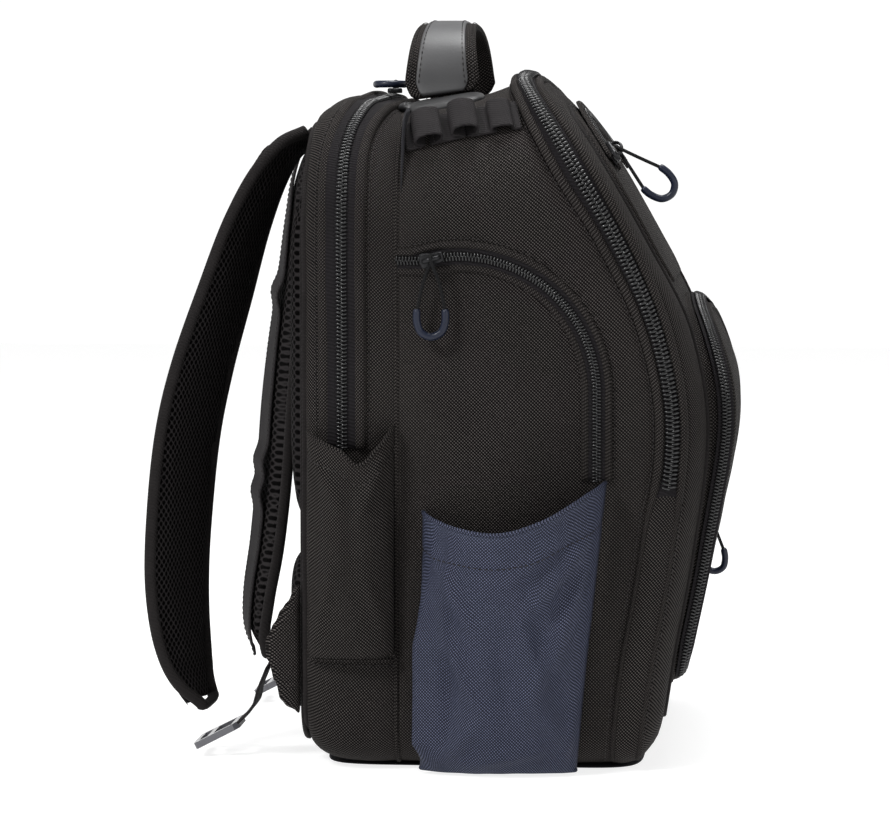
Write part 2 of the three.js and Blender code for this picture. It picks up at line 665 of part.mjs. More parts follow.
// slider on a chain: body along local X, bail standing out along local +Y
function sliderSolid() {
  const outline = [[-7, -2.6], [-2, -3.2], [6, -4.6], [7, -3], [7, 3], [6, 4.6], [-2, 3.2], [-7, 2.6]];
  const shape = new THREE.Shape(outline.map(([x, y]) => new THREE.Vector2(x, y)));
  const body = new THREE.ExtrudeGeometry(shape, { depth: SLIDER_TALL, bevelEnabled: false });
  body.rotateX(-Math.PI / 2);
  const arch = [[-5.2, 2], [-4.6, 5.4], [0, BAIL_TOP], [4.6, 5.4], [5.2, 2]];
  const wire = tube(arch.map(([x, y]) => new THREE.Vector3(x, y, 0)), BAIL_WIRE, 6, 6);
  return join(body, wire);
}

function tube(points, radius, steps, sides) {
  const curve = new THREE.CatmullRomCurve3(points);
  const round = new THREE.Shape().absarc(0, 0, radius, 0, 2 * Math.PI, false);
  return new THREE.ExtrudeGeometry(round, { steps, extrudePath: curve, curveSegments: sides / 2 });
}

// point on the middle line of a pull, drop millimetres along it from the eye
function pullPoint({ eye, lead, hang }, drop) {
  const straight = Math.min(drop, LEAD);
  return eye.clone().addScaledVector(lead, straight).addScaledVector(hang, drop - straight);
}

// Cord from one end of the grip, through the bail and back to the other end. Where the pull hangs
// across the chain the cord turns round the bail wire; where it hangs along it, it goes straight under.
function cordPoints(pull, hooked) {
  const at = (side, away, drop) => {
    const lateral = pull.cross.clone().lerp(pull.wide, Math.max(drop, 0) / CORD_DROP).normalize();
    return pullPoint(pull, drop).addScaledVector(lateral, side).addScaledVector(pull.out, away);
  };
  const bends = [-90, -45, 0, 45, 90].map((degrees) => THREE.MathUtils.degToRad(degrees));
  const turn = bends.map((a) => at(0, WRAP * (1 + Math.sin(a)), -WRAP * Math.cos(a)));
  const under = bends.map((a) => at(UNDER * Math.sin(a), 0, UNDER * (1 - Math.cos(a))));
  const middle = hooked ? [at(-1.4, 0, 4), ...turn, at(1.4, 2 * WRAP, 4)] : under;
  return [at(-GRIP_HALF, 0, CORD_DROP), at(-5, 0, 14), ...middle,
    at(5, hooked ? WRAP : 0, 14), at(GRIP_HALF, 0, CORD_DROP)];
}

function gripPoints(pull) {
  const u = [[-1, 0], [-1, 7], [-0.7, 13.4], [0, GRIP_TALL], [0.7, 13.4], [1, 7], [1, 0]];
  return u.map(([side, drop]) => pullPoint(pull, CORD_DROP + GAP + drop)
    .addScaledVector(pull.wide, side * GRIP_HALF));
}

// Slider, cord and grip of one zipper. The slider stands at origin with its bail towards out;
// the pull hangs along hang, and the grip's two ends are spread along wide.
function zipperPull(name, { origin, chain, out, hang, wide, hooked }) {
  const along0 = chain.clone().normalize();
  const away = out.clone().addScaledVector(along0, -out.dot(along0)).normalize();
  const cross = hooked ? along0.clone() : new THREE.Vector3().crossVectors(along0, away);
  if (cross.dot(wide) < 0) cross.negate();
  const pull = {
    eye: origin.clone().addScaledVector(away, EYE), cross, out: away, lead: hooked ? hang : along0,
    hang: hang.clone().normalize(), wide: wide.clone().normalize(),
  };
  add(`${name}_slider`, place(sliderSolid(), origin, chain, out), SLIDER);
  add(`${name}_cord`, tube(cordPoints(pull, hooked), CORD_RADIUS, hooked ? 20 : 14, 8), CORD);
  add(`${name}_grip`, tube(gripPoints(pull), GRIP_RADIUS, 9, 8), NAVY_RUBBER);
}

// the upper pocket's slider stands near one end of the arch, and its pull hangs forward
const archPoint = (angle) => archCentre.clone()
  .addScaledVector(archDown, -ARCH_RADIUS * Math.cos(angle))
  .addScaledVector(AXIS.y, -ARCH_RADIUS * Math.sin(angle));
const SLIDER_ANGLE = ARCH_HALF_ANGLE - 0.08;
zipperPull('upper_pocket', {
  origin: archPoint(SLIDER_ANGLE).addScaledVector(archNormal, 1.4 + GAP),
  chain: archPoint(SLIDER_ANGLE + 0.05).sub(archPoint(SLIDER_ANGLE - 0.05)),
  out: archNormal,
  hang: new THREE.Vector3(0.78, 0, -0.62),
  wide: new THREE.Vector3(0.62, 0, 0.78),
});

// the rear compartment's slider is on the top, its pull lying towards the left side
zipperPull('rear', {
  origin: new THREE.Vector3(rearZipX(394), -5, 396.2 + GAP), chain: AXIS.y.clone().negate(), out: AXIS.z,
  hang: AXIS.y.clone().negate(), wide: AXIS.x,
});

// two sliders of the main zipper, both on the right side
const bandMiddle = mix(zipRear, zipFront, 0.5);
for (const [word, z] of [['lower', 182], ['upper', 292]]) {
  zipperPull(`main_${word}`, {
    origin: new THREE.Vector3(bandMiddle(z), 150 + GAP, z),
    chain: new THREE.Vector3(bandMiddle(z - 8) - bandMiddle(z + 8), 0, -16),
    out: AXIS.y, hang: DOWN, wide: AXIS.x,
  });
}

// the lower pocket's slider, on the right side of its gusset
const gussetX = (z) => faceX(z) + pocketDepth(z) * 0.5;
zipperPull('lower_pocket', {
  origin: new THREE.Vector3(gussetX(128), 115 + 2 * GAP, 128),
  chain: new THREE.Vector3(gussetX(120) - gussetX(136), 0, -16),
  out: AXIS.y, hang: new THREE.Vector3(0.15, 0.2, -1), wide: AXIS.x,
});

// ---------------------------------------------------------------- both sides
for (const [word, side] of Object.entries(SIDES)) {
  zipperPull(`side_${word}`, {
    origin: new THREE.Vector3(ARC_X + ARC_RADIUS * Math.cos(ARC_START - 0.06), side * (SIDE_Y + 1.5 + GAP),
      ARC_Z + ARC_RADIUS * Math.sin(ARC_START - 0.06)),
    chain: new THREE.Vector3(-Math.sin(ARC_START), 0, Math.cos(ARC_START)),
    out: sideways(side), hang: DOWN, wide: AXIS.x, hooked: true,
  });
  add(`side_zipper_${word}`, onSide(sideZipper(), side), ZIPPER);
  add(`bottle_pocket_${word}`, onSide(bottlePocket(), side), NAVY_TWILL);
  add(`umbrella_pocket_${word}`, onSide(umbrellaPocket(), side), TWILL);
  add(`wing_${word}`, onSide(wing(), side), TWILL);
  add(`strap_pad_${word}`, onSide(strapPad(side), side), AIR_MESH);
  add(`strap_webbing_${word}`, onSide(strapWebbing(side), side), WEBBING);
  add(`ladder_lock_${word}`, onSide(ladderLock(side), side), BUCKLE);
  add(`lower_webbing_${word}`, onSide(lowerWebbing(word), side), WEBBING);
  add(`daisy_chain_${word}`, onSide(daisyChain(), side), WEBBING);
  add(`handle_foot_${word}`, onSide(handleFoot(), side), HANDLE_RUBBER);
}

const box = new THREE.Box3().setFromObject(bag);
bag.position.set(-(box.min.x + box.max.x) / 2, -(box.min.y + box.max.y) / 2, -box.min.z);

export default bag;
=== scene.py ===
import json
import math

import bpy
import numpy as np
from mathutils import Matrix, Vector, noise
from mathutils.bvhtree import BVHTree

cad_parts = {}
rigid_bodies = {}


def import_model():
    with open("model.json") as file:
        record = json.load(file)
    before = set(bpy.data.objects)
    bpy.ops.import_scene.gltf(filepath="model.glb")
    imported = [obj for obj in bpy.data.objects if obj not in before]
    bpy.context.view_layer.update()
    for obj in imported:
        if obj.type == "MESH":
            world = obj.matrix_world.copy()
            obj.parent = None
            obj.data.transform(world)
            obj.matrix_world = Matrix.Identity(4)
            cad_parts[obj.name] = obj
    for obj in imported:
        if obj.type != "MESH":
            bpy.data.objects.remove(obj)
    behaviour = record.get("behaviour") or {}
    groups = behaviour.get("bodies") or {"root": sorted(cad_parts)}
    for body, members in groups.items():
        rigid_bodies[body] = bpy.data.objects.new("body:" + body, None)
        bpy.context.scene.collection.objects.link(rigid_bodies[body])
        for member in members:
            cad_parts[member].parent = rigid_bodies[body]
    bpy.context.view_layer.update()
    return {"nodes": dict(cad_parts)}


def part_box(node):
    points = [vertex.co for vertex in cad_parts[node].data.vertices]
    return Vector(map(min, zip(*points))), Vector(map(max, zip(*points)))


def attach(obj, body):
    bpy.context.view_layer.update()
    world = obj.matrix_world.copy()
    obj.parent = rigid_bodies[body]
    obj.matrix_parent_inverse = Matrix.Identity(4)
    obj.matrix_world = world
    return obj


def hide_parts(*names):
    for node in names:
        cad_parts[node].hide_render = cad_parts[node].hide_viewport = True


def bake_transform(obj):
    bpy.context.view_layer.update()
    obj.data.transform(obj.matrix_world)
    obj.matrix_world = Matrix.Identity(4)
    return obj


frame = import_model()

# Shapes are drawn in the part's own millimetres, +Z up, +X towards the front pockets and -Y to the
# bag's left. The base panel's rear edge stands at x -58 there, which gives the shift to the frame.
BASE_REAR_X = -58.0
SHIFT = np.array([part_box("base_panel")[0].x * 1000 - BASE_REAR_X, 0.0, 0.0])


def metres(points):
    return (np.asarray(points, float) + SHIFT) / 1000


def place(x, y, z):
    return Vector(metres([x, y, z]))


def linked(name, data):
    """A new object in the scene that shows data."""
    obj = bpy.data.objects.new(name, data)
    bpy.context.collection.objects.link(obj)
    return obj


def same(points):
    return np.asarray(points)


def mirrored_y(points):
    return np.asarray(points) * [1, -1, 1]


SIDES = (("left", -1, same), ("right", 1, mirrored_y))


# ---------------------------------------------------------------- camera, stage and lights
CAMERA_AZIMUTH, CAMERA_ELEVATION = math.radians(5.0), math.radians(4.5)
CAMERA_DISTANCE, CAMERA_LENS = 2.15, 139.6
LIT_POINT = (0, 0, 0.2)


def make_camera():
    level = math.cos(CAMERA_ELEVATION)
    back = Vector((math.sin(CAMERA_AZIMUTH) * level, -math.cos(CAMERA_AZIMUTH) * level,
                   math.sin(CAMERA_ELEVATION)))
    data = bpy.data.cameras.new("camera")
    data.sensor_width = 36
    data.lens = CAMERA_LENS
    camera = linked("camera", data)
    camera.location = place(3, 0, 200) + back * CAMERA_DISTANCE
    camera.rotation_mode = "QUATERNION"
    camera.rotation_quaternion = (-back).to_track_quat("-Z", "Y")
    bpy.context.scene.camera = camera


def area_light(name, position, size, power):
    data = bpy.data.lights.new(name, "AREA")
    data.shape = "RECTANGLE"
    data.size, data.size_y = size
    data.energy = power
    light = linked(name, data)
    light.location = position
    light.rotation_mode = "QUATERNION"
    light.rotation_quaternion = (Vector(LIT_POINT) - Vector(position)).to_track_quat("-Z", "Y")


make_camera()


# ---------------------------------------------------------------- materials
class Nodes:
    """A material being built: short calls for the nodes used here."""

    def __init__(self, name, colour, roughness, **sockets):
        self.material = bpy.data.materials.new(name)
        self.material.use_nodes = True
        self.tree = self.material.node_tree
        self.shader = self.tree.nodes["Principled BSDF"]
        self.shader.inputs["Base Color"].default_value = (*colour, 1)
        self.shader.inputs["Roughness"].default_value = roughness
        for socket, value in sockets.items():
            self.shader.inputs[socket.replace("_", " ")].default_value = value
        self.place = self.tree.nodes.new("ShaderNodeTexCoord").outputs["Object"]

    def lay_flat(self):
        """From here on places are the mesh's weave attribute, so the threads follow the cloth."""
        self.place = self.attribute("weave", "Vector")

    def link(self, value, socket):
        if isinstance(value, bpy.types.NodeSocket):
            self.tree.links.new(value, socket)
        else:
            socket.default_value = value

    def math(self, operation, a, b=0.0, c=0.0, clamp=False):
        node = self.tree.nodes.new("ShaderNodeMath")
        node.operation = operation
        node.use_clamp = clamp
        for value, socket in zip((a, b, c), node.inputs):
            self.link(value, socket)
        return node.outputs[0]

    def wave(self, direction, pitch, wobble=None):
        """0 to 1 sine ribs standing across a direction, pitch metres apart."""
        unit = Vector(direction).normalized() * (2 * math.pi / pitch)
        node = self.tree.nodes.new("ShaderNodeVectorMath")
        node.operation = "DOT_PRODUCT"
        self.link(self.place, node.inputs[0])
        node.inputs[1].default_value = unit
        phase = node.outputs["Value"]
        if wobble is not None:
            phase = self.math("ADD", phase, wobble)
        return self.math("MULTIPLY_ADD", self.math("SINE", phase), 0.5, 0.5)

    def noise(self, scale, detail=2.0, roughness=0.5):
        node = self.tree.nodes.new("ShaderNodeTexNoise")
        self.link(self.place, node.inputs["Vector"])
        node.inputs["Scale"].default_value = scale
        node.inputs["Detail"].default_value = detail
        node.inputs["Roughness"].default_value = roughness
        return node.outputs["Fac"]

    def attribute(self, name, output="Fac"):
        node = self.tree.nodes.new("ShaderNodeAttribute")
        node.attribute_name = name
        return node.outputs[output]

    def mix(self, factor, a, b):
        node = self.tree.nodes.new("ShaderNodeMix")
        node.data_type = "RGBA"
        self.link(factor, node.inputs["Factor"])
        for value, socket in ((a, node.inputs[6]), (b, node.inputs[7])):
            self.link((*value, 1) if isinstance(value, tuple) else value, socket)
        return node.outputs[2]

    def colour(self, value):
        self.link(value, self.shader.inputs["Base Color"])

    def roughness(self, low, high, factor):
        """Roughness from low to high as the factor goes from 0 to 1."""
        node = self.tree.nodes.new("ShaderNodeMapRange")
        self.link(factor, node.inputs["Value"])
        node.inputs["To Min"].default_value = low
        node.inputs["To Max"].default_value = high
        self.link(node.outputs["Result"], self.shader.inputs["Roughness"])

    def bump(self, height, distance, strength=1.0):
        node = self.tree.nodes.new("ShaderNodeBump")
        node.inputs["Strength"].default_value = strength
        node.inputs["Distance"].default_value = distance
        self.link(height, node.inputs["Height"])
        previous = self.shader.inputs["Normal"].links
        if previous:
            self.link(previous[0].from_socket, node.inputs["Normal"])
        self.link(node.outputs["Normal"], self.shader.inputs["Normal"])


def twill(name, dark, light, worn, pitch=0.0014, roughness=0.7, gloss=0.06):
    """Nylon twill: two sets of fine diagonal threads, flecked a little, and worn at its edges."""
    n = Nodes(name, dark, roughness, Specular_IOR_Level=gloss)
    solid_place = n.place
    n.lay_flat()
    drift = n.math("MULTIPLY", n.noise(45.0, 2.0), 1.1)
    rib = n.wave((1, 1, 0), pitch, drift)
    cross = n.wave((1, -1, 0), pitch, drift)
    n.place = solid_place
    thread = n.math("MULTIPLY", rib, n.math("MULTIPLY_ADD", cross, 0.85, 0.15))
    fleck = n.math("MULTIPLY_ADD", n.noise(900.0, 2.0, 0.6), 0.9, 0.55)
    slow = n.math("MULTIPLY_ADD", n.noise(9.0, 3.0, 0.55), 1.1, 0.45)
    shade = n.math("MULTIPLY", n.math("MULTIPLY", n.math("POWER", thread, 1.7), fleck), slow, clamp=True)
    wear = n.math("MULTIPLY", n.attribute("wear"), n.noise(90.0, 3.0, 0.7), clamp=True)
    n.colour(n.mix(wear, n.mix(shade, dark, light), worn))
    n.roughness(roughness - 0.12, roughness + 0.16, n.math("SUBTRACT", 1.0, thread))
    n.bump(thread, 0.00035, 1.0)
    n.bump(n.noise(160.0, 3.0), 0.0006, 0.3)
    return n.material


def air_mesh(name, dark, light, pitch=0.0046):
    """Spacer mesh: a net of thick threads round diamond holes."""
    n = Nodes(name, dark, 0.85, Specular_IOR_Level=0.03)
    drift = n.math("MULTIPLY", n.noise(40.0, 2.0), 1.2)
    holes = n.math("MULTIPLY", n.wave((1, 1, 1), pitch, drift), n.wave((1, 1, -1), pitch, drift))
    hole = n.math("SMOOTH_MIN", n.math("MULTIPLY", holes, 2.6), 1.0, 0.25)
    net = n.math("SUBTRACT", 1.0, hole, clamp=True)
    fine = n.wave((0, 1, 0.2), 0.0009)
    shade = n.math("MULTIPLY", net, n.math("MULTIPLY_ADD", fine, 0.3, 0.7), clamp=True)
    wear = n.math("MULTIPLY", n.attribute("wear"), n.noise(70.0, 3.0))
    n.colour(n.mix(wear, n.mix(shade, dark, light), tuple(1.6 * c for c in light)))
    n.bump(net, 0.0011, 1.0)
    n.bump(fine, 0.0002, 0.5)
    return n.material


def ribbed(name, dark, light, pitch=0.0016, direction=(0.3, 1, 1), roughness=0.75):
    """Woven webbing or zipper tape: narrow ribs across it and fine threads along it."""
    n = Nodes(name, dark, roughness, Specular_IOR_Level=0.1)
    drift = n.math("MULTIPLY", n.noise(80.0, 2.0), 0.9)
    rib = n.wave(direction, pitch, drift)
    cross = n.wave((1, -0.35, 0.25), pitch * 0.45, drift)
    thread = n.math("MULTIPLY_ADD", cross, 0.35, n.math("MULTIPLY", rib, 0.65))
    wear = n.math("MULTIPLY", n.attribute("wear"), n.noise(120.0, 3.0))
    shade = n.math("MULTIPLY_ADD", n.noise(18.0, 3.0), 0.35, n.math("MULTIPLY", thread, 0.7), clamp=True)
    n.colour(n.mix(wear, n.mix(shade, dark, light), tuple(1.9 * c for c in light)))
    n.roughness(roughness - 0.1, roughness + 0.15, rib)
    n.bump(thread, 0.00035, 0.9)
    return n.material


def moulded(name, dark, light, roughness, grain=900.0, depth=0.00006, **sockets):
    """Moulded rubber or plastic: a fine even grain, with cloudy gloss and paler handled places."""
    n = Nodes(name, dark, roughness, **sockets)
    cloud = n.noise(35.0, 4.0, 0.6)
    fine = n.noise(grain, 2.0)
    wear = n.math("MULTIPLY", n.attribute("wear"), cloud, clamp=True)
    n.colour(n.mix(wear, n.mix(cloud, dark, light), tuple(min(1.0, 1.8 * c) for c in light)))
    n.roughness(roughness - 0.08, roughness + 0.12, cloud)
    n.bump(fine, depth, 0.8)
    return n.material


BLACK_TWILL = twill("black_twill", (0.0014, 0.0012, 0.0012), (0.108, 0.097, 0.092), (0.024, 0.021, 0.020))
NAVY_TWILL = twill("navy_twill", (0.0045, 0.0060, 0.0135), (0.150, 0.166, 0.262), (0.05, 0.06, 0.09),
                   0.00135, 0.5, 0.18)
AIR_MESH = air_mesh("air_mesh", (0.0006, 0.0005, 0.0005), (0.0260, 0.0235, 0.0240), 0.0029)
TAPE = ribbed("zipper_tape", (0.0015, 0.0013, 0.0015), (0.018, 0.016, 0.018), 0.0015)
BINDING = ribbed("binding", (0.0015, 0.0013, 0.0013), (0.016, 0.014, 0.014), 0.0015)
WEBBING = ribbed("webbing", (0.0012, 0.0010, 0.0011), (0.021, 0.019, 0.020), 0.0017)
COIL = moulded("zipper_coil", (0.002, 0.002, 0.0022), (0.007, 0.007, 0.0075), 0.24, 1500.0, 0.00002,
               Specular_IOR_Level=0.5)
SLIDER = moulded("slider_metal", (0.01, 0.01, 0.011), (0.028, 0.028, 0.03), 0.3, 700.0, 0.00003,
                 Metallic=0.75, Specular_IOR_Level=0.5)
PULL_CORD = ribbed("pull_cord", (0.002, 0.002, 0.0022), (0.018, 0.018, 0.019), 0.0009, (1, 1, 1), 0.7)
NAVY_RUBBER = moulded("navy_rubber", (0.0035, 0.0052, 0.0125), (0.009, 0.0125, 0.027), 0.34, 900.0, 0.00005,
                      Specular_IOR_Level=0.3)
HANDLE_RUBBER = moulded("handle_rubber", (0.026, 0.026, 0.027), (0.048, 0.048, 0.05), 0.5, 650.0, 0.0001,
                        Specular_IOR_Level=0.5)
HANDLE_BASE = moulded("handle_base", (0.008, 0.008, 0.0085), (0.017, 0.017, 0.018), 0.45, 650.0, 0.0001,
                      Specular_IOR_Level=0.4)
BUCKLE = moulded("buckle_plastic", (0.07, 0.07, 0.08), (0.11, 0.11, 0.122), 0.24, 800.0, 0.00002,
                 Specular_IOR_Level=0.5, Coat_Weight=0.3, Coat_Roughness=0.15)
THREAD = ribbed("thread", (0.012, 0.011, 0.011), (0.05, 0.045, 0.045), 0.0007, (1, 1, 1), 0.5)
LINING = twill("lining", (0.03, 0.03, 0.034), (0.09, 0.09, 0.10), (0.09, 0.09, 0.1), 0.0011, 0.6)


# ---------------------------------------------------------------- curves
def hermite(a, b, slope_a, slope_b, t):
    return ((2 * t**3 - 3 * t**2 + 1) * a + (t**3 - 2 * t**2 + t) * slope_a
            + (-2 * t**3 + 3 * t**2) * b + (t**3 - t**2) * slope_b)


def along(points):
    """A smooth function through (place, value) points, level beyond its ends."""
    places, values = (np.array(column, float) for column in zip(*points))
    last = len(places) - 1
    slopes = np.array([(values[min(i + 1, last)] - values[max(i - 1, 0)])
                       / (places[min(i + 1, last)] - places[max(i - 1, 0)]) for i in range(last + 1)])

    def value(at):
        at = np.asarray(at, float)
        i = np.clip(np.searchsorted(places, at, side="right") - 1, 0, last - 1)
        span = places[i + 1] - places[i]
        t = np.clip((at - places[i]) / span, 0, 1)
        return hermite(values[i], values[i + 1], slopes[i] * span, slopes[i + 1] * span, t)

    return value


def catmull(points):
    """The part's smooth curve through points: centripetal Catmull-Rom, at 0 to 1."""
    points = np.array(points, float)
    last = len(points) - 1

    def at(t):
        i = min(int(last * t), last - 1)
        w = last * t - i
        p1, p2 = points[i], points[i + 1]
        p0 = points[i - 1] if i > 0 else 2 * p1 - p2
        p3 = points[i + 2] if i + 2 <= last else 2 * p2 - p1
        d0, d1, d2 = (max(np.linalg.norm(b - a) ** 0.5, 1e-4) for a, b in ((p0, p1), (p1, p2), (p2, p3)))
        slope_1 = ((p1 - p0) / d0 - (p2 - p0) / (d0 + d1) + (p2 - p1) / d1) * d1
        slope_2 = ((p2 - p1) / d1 - (p3 - p1) / (d1 + d2) + (p3 - p2) / d2) * d1
        return hermite(p1, p2, slope_1, slope_2, w)

    return at


def unit(v):
    v = np.asarray(v, float)
    return v / np.maximum(np.linalg.norm(v, axis=-1, keepdims=True), 1e-9)


def spaced(points, pitch=None, count=None, closed=False):
    """Points set evenly along a polyline, pitch apart or count in all, with their places 0 to 1."""
    points = np.asarray(points, float)
    if closed:
        points = np.vstack([points, points[:1]])
    steps = np.linalg.norm(np.diff(points, axis=0), axis=1)
    run = np.concatenate([[0], np.cumsum(steps)])
    if count is None:
        count = max(2, int(round(run[-1] / pitch)) + (0 if closed else 1))
    at = np.linspace(0, run[-1], count, endpoint=not closed)
    return np.stack([np.interp(at, run, points[:, k]) for k in range(3)], axis=1), at / run[-1]


def wobble(points, scale, seed):
    """Smooth noise of -1 to 1 at each point; the seed moves it elsewhere in the same noise."""
    offset = Vector((seed * 17.3, seed * 5.1, seed * 9.7))
    flat = np.asarray(points, float).reshape(-1, 3)
    values = [noise.noise(Vector(p / scale) + offset) for p in flat]
    return np.array(values).reshape(np.asarray(points).shape[:-1])


# ---------------------------------------------------------------- meshes
def new_object(name, points, faces, material, wear=None):
    mesh = bpy.data.meshes.new(name)
    mesh.from_pydata(metres(points).tolist(), [], faces)
    mesh.polygons.foreach_set("use_smooth", [True] * len(mesh.polygons))
    mesh.materials.append(material)
    if wear is not None:
        attribute = mesh.attributes.new("wear", "FLOAT", "POINT")
        attribute.data.foreach_set("value", np.clip(wear, 0, 1).astype(float).ravel())
    return linked(name, mesh)


def grid_faces(rows, columns, closed_rows=False, closed_columns=False):
    faces = []
    for r in range(rows if closed_rows else rows - 1):
        below, above = r * columns, ((r + 1) % rows) * columns
        for c in range(columns if closed_columns else columns - 1):
            d = (c + 1) % columns
            faces.append((below + c, below + d, above + d, above + c))
    return faces


def cloth_places(points):
    """Lengths in metres along the rows and columns of a grid, for the weave to follow."""
    middle = points[len(points) // 2]
    along_row = np.linalg.norm(np.diff(middle, axis=0, prepend=middle[:1]), axis=1).cumsum()
    along_row = np.broadcast_to(along_row, points.shape[:2])
    across_rows = np.linalg.norm(np.diff(points, axis=0, prepend=points[:1]), axis=2).cumsum(axis=0)
    return np.stack([along_row, across_rows, 0 * along_row], axis=2).reshape(-1, 3) / 1000


def set_weave(mesh, places):
    attribute = mesh.attributes.new("weave", "FLOAT_VECTOR", "POINT")
    attribute.data.foreach_set("vector", np.asarray(places, float).ravel())


def grid_normals(points, closed_columns=False):
    """Unit normals of a grid of points, rows by columns."""
    across = np.gradient(points, axis=0)
    if closed_columns:
        run = (np.roll(points, -1, axis=1) - np.roll(points, 1, axis=1)) / 2
    else:
        run = np.gradient(points, axis=1)
    return unit(np.cross(run, across))


def modifier(obj, kind, **settings):
    added = obj.modifiers.new(kind.lower(), kind)
    for name, value in settings.items():
        setattr(added, name, value)
    return added


def thicken(obj, millimetres, offset=-1.0):
    modifier(obj, "SOLIDIFY", thickness=millimetres / 1000, offset=offset, use_quality_normals=True)
    return obj


KEPT_SETTINGS = ("thickness", "offset", "use_quality_normals", "levels", "render_levels")


def mirror_mesh(obj, name):
    """The same piece on the other side of the bag, with its faces still pointing out."""
    mesh = obj.data.copy()
    mesh.name = name
    for vertex in mesh.vertices:
        vertex.co.y = -vertex.co.y
    mesh.flip_normals()
    copy = linked(name, mesh)
    for source in obj.modifiers:
        modifier(copy, source.type, **{k: getattr(source, k) for k in KEPT_SETTINGS if hasattr(source, k)})
    return copy


def finish_piece(obj, body="bag", nodes=()):
    if nodes:
        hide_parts(*nodes)
    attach(obj, body)
    return obj


def sweep(name, centres, normals, profile, material, closed_path=False, wear=None):
    """A profile of (across, out) points carried along a path whose outward normals are given."""
    centres, normals = np.asarray(centres, float), np.asarray(normals, float)
    if closed_path:
        tangents = unit(np.roll(centres, -1, axis=0) - np.roll(centres, 1, axis=0))
    else:
        tangents = unit(np.gradient(centres, axis=0))
    across = unit(np.cross(tangents, normals))
    out = unit(np.cross(across, tangents))
    profile = np.asarray(profile, float)
    if profile.ndim == 2:
        profile = np.broadcast_to(profile, (len(centres), *profile.shape))
    points = (centres[:, None] + profile[:, :, 0, None] * across[:, None]
              + profile[:, :, 1, None] * out[:, None])
    rows, columns = points.shape[:2]
    faces = grid_faces(rows, columns, closed_rows=closed_path, closed_columns=True)
    if not closed_path:
        faces += [tuple(range(columns))[::-1], tuple((rows - 1) * columns + c for c in range(columns))]
    made = new_object(name, points.reshape(-1, 3), faces, material,
                      wear=None if wear is None else np.repeat(wear, columns))
    set_weave(made.data, cloth_places(points))
    return made


def rounded(width, thick, count=16, power=0.5):
    """Profile of a flat strip with rounded edges, centred, standing on zero."""
    a = (np.arange(count) + 0.5) / count * 2 * np.pi
    c, s = np.cos(a), np.sin(a)
    return np.stack([np.sign(c) * np.abs(c) ** power * width / 2,
                     thick / 2 + np.sign(s) * np.abs(s) ** power * thick / 2], axis=1)


def dome(width, height, count=9, sink=0.6):
    """Profile of a half-round welt, sunk a little into what it is sewn on."""
    a = np.linspace(0, np.pi, count)
    top = np.stack([np.cos(a) * width / 2, np.sin(a) ** 0.8 * height], axis=1)
    return np.vstack([top, [[-width / 2, -sink], [width / 2, -sink]]])


def merged(name, parts, material):
    """One object out of (points, faces) parts."""
    points, faces, start = [], [], 0
    for part_points, part_faces in parts:
        points.append(part_points)
        faces += [tuple(start + i for i in face) for face in part_faces]
        start += len(part_points)
    return new_object(name, np.vstack(points), faces, material)


def repeat(template, faces, centres, tangents, across, out):
    """Copies of a template whose x is along the path, y across it and z out of the surface."""
    count, size = len(centres), len(template)
    local = np.broadcast_to(template[None], (count, size, 3))
    points = (centres[:, None] + local[..., 0:1] * tangents[:, None] + local[..., 1:2] * across[:, None]
              + local[..., 2:3] * out[:, None])
    all_faces = [tuple(k * size + i for i in face) for k in range(count) for face in faces]
    return points.reshape(-1, 3), all_faces


def capsule(long, wide, tall, sides=6, rings=4):
    """A rounded bar along x as points and faces."""
    points, faces = [], []
    for r in range(rings + 1):
        t = -1 + 2 * r / rings
        size = max(1 - abs(t) ** 3, 0.08) ** 0.5 if abs(t) < 1 else 0.35
        for s in range(sides):
            a = 2 * math.pi * s / sides
            points.append((t * long / 2, math.cos(a) * wide / 2 * size, math.sin(a) * tall / 2 * size))
    faces += grid_faces(rings + 1, sides, closed_columns=True)
    faces += [tuple(range(sides))[::-1], tuple(rings * sides + s for s in range(sides))]
    return np.array(points), faces


def path_frames(points, normals, pitch):
    """Even points along a path with their tangents, across and out directions."""
    centres, places = spaced(points, pitch=pitch)
    steps = np.linalg.norm(np.diff(points, axis=0), axis=1)
    run = np.concatenate([[0], np.cumsum(steps)]) / steps.sum()
    outs = unit(np.stack([np.interp(places, run, np.asarray(normals)[:, k]) for k in range(3)], axis=1))
    tangents = unit(np.gradient(centres, axis=0))
    across = unit(np.cross(tangents, outs))
    return centres, tangents, across, unit(np.cross(across, tangents))


def coil_chain(name, points, normals, wide, pitch):
    """Both rows of a nylon coil: rounded bars that reach past the middle and alternate along it."""
    centres, tangents, across, out = path_frames(points, normals, pitch)
    bar, faces = capsule(wide * 0.62, pitch * 0.72, pitch * 0.8, sides=8)
    bar = bar[:, [1, 0, 2]]
    parts = []
    for side, along_path in ((-1, -0.25), (1, 0.25)):
        slanted = bar.copy()
        slanted[:, 0] += side * 0.12 * slanted[:, 1]
        slanted[:, 1] += side * wide * 0.2
        slanted[:, 2] += pitch * 0.25 * (1 - (np.abs(slanted[:, 1]) / (wide / 2)) ** 2)
        parts.append(repeat(slanted, faces, centres + tangents * pitch * along_path, tangents, across, out))
    return merged(name, parts, COIL)


stitch_parts = {}


def stitches(body, points, normals, shift=0.0, pitch=3.4, lift=0.15):
    """A row of thread stitches along a path, shift to one side of it, gathered by body."""
    centres, tangents, across, out = path_frames(points, normals, pitch)
    bar, faces = capsule(pitch * 0.66, 0.7, 0.6, sides=5, rings=3)
    parts = repeat(bar, faces, centres + across * shift + out * lift, tangents, across, out)
    stitch_parts.setdefault(body, []).append(parts)


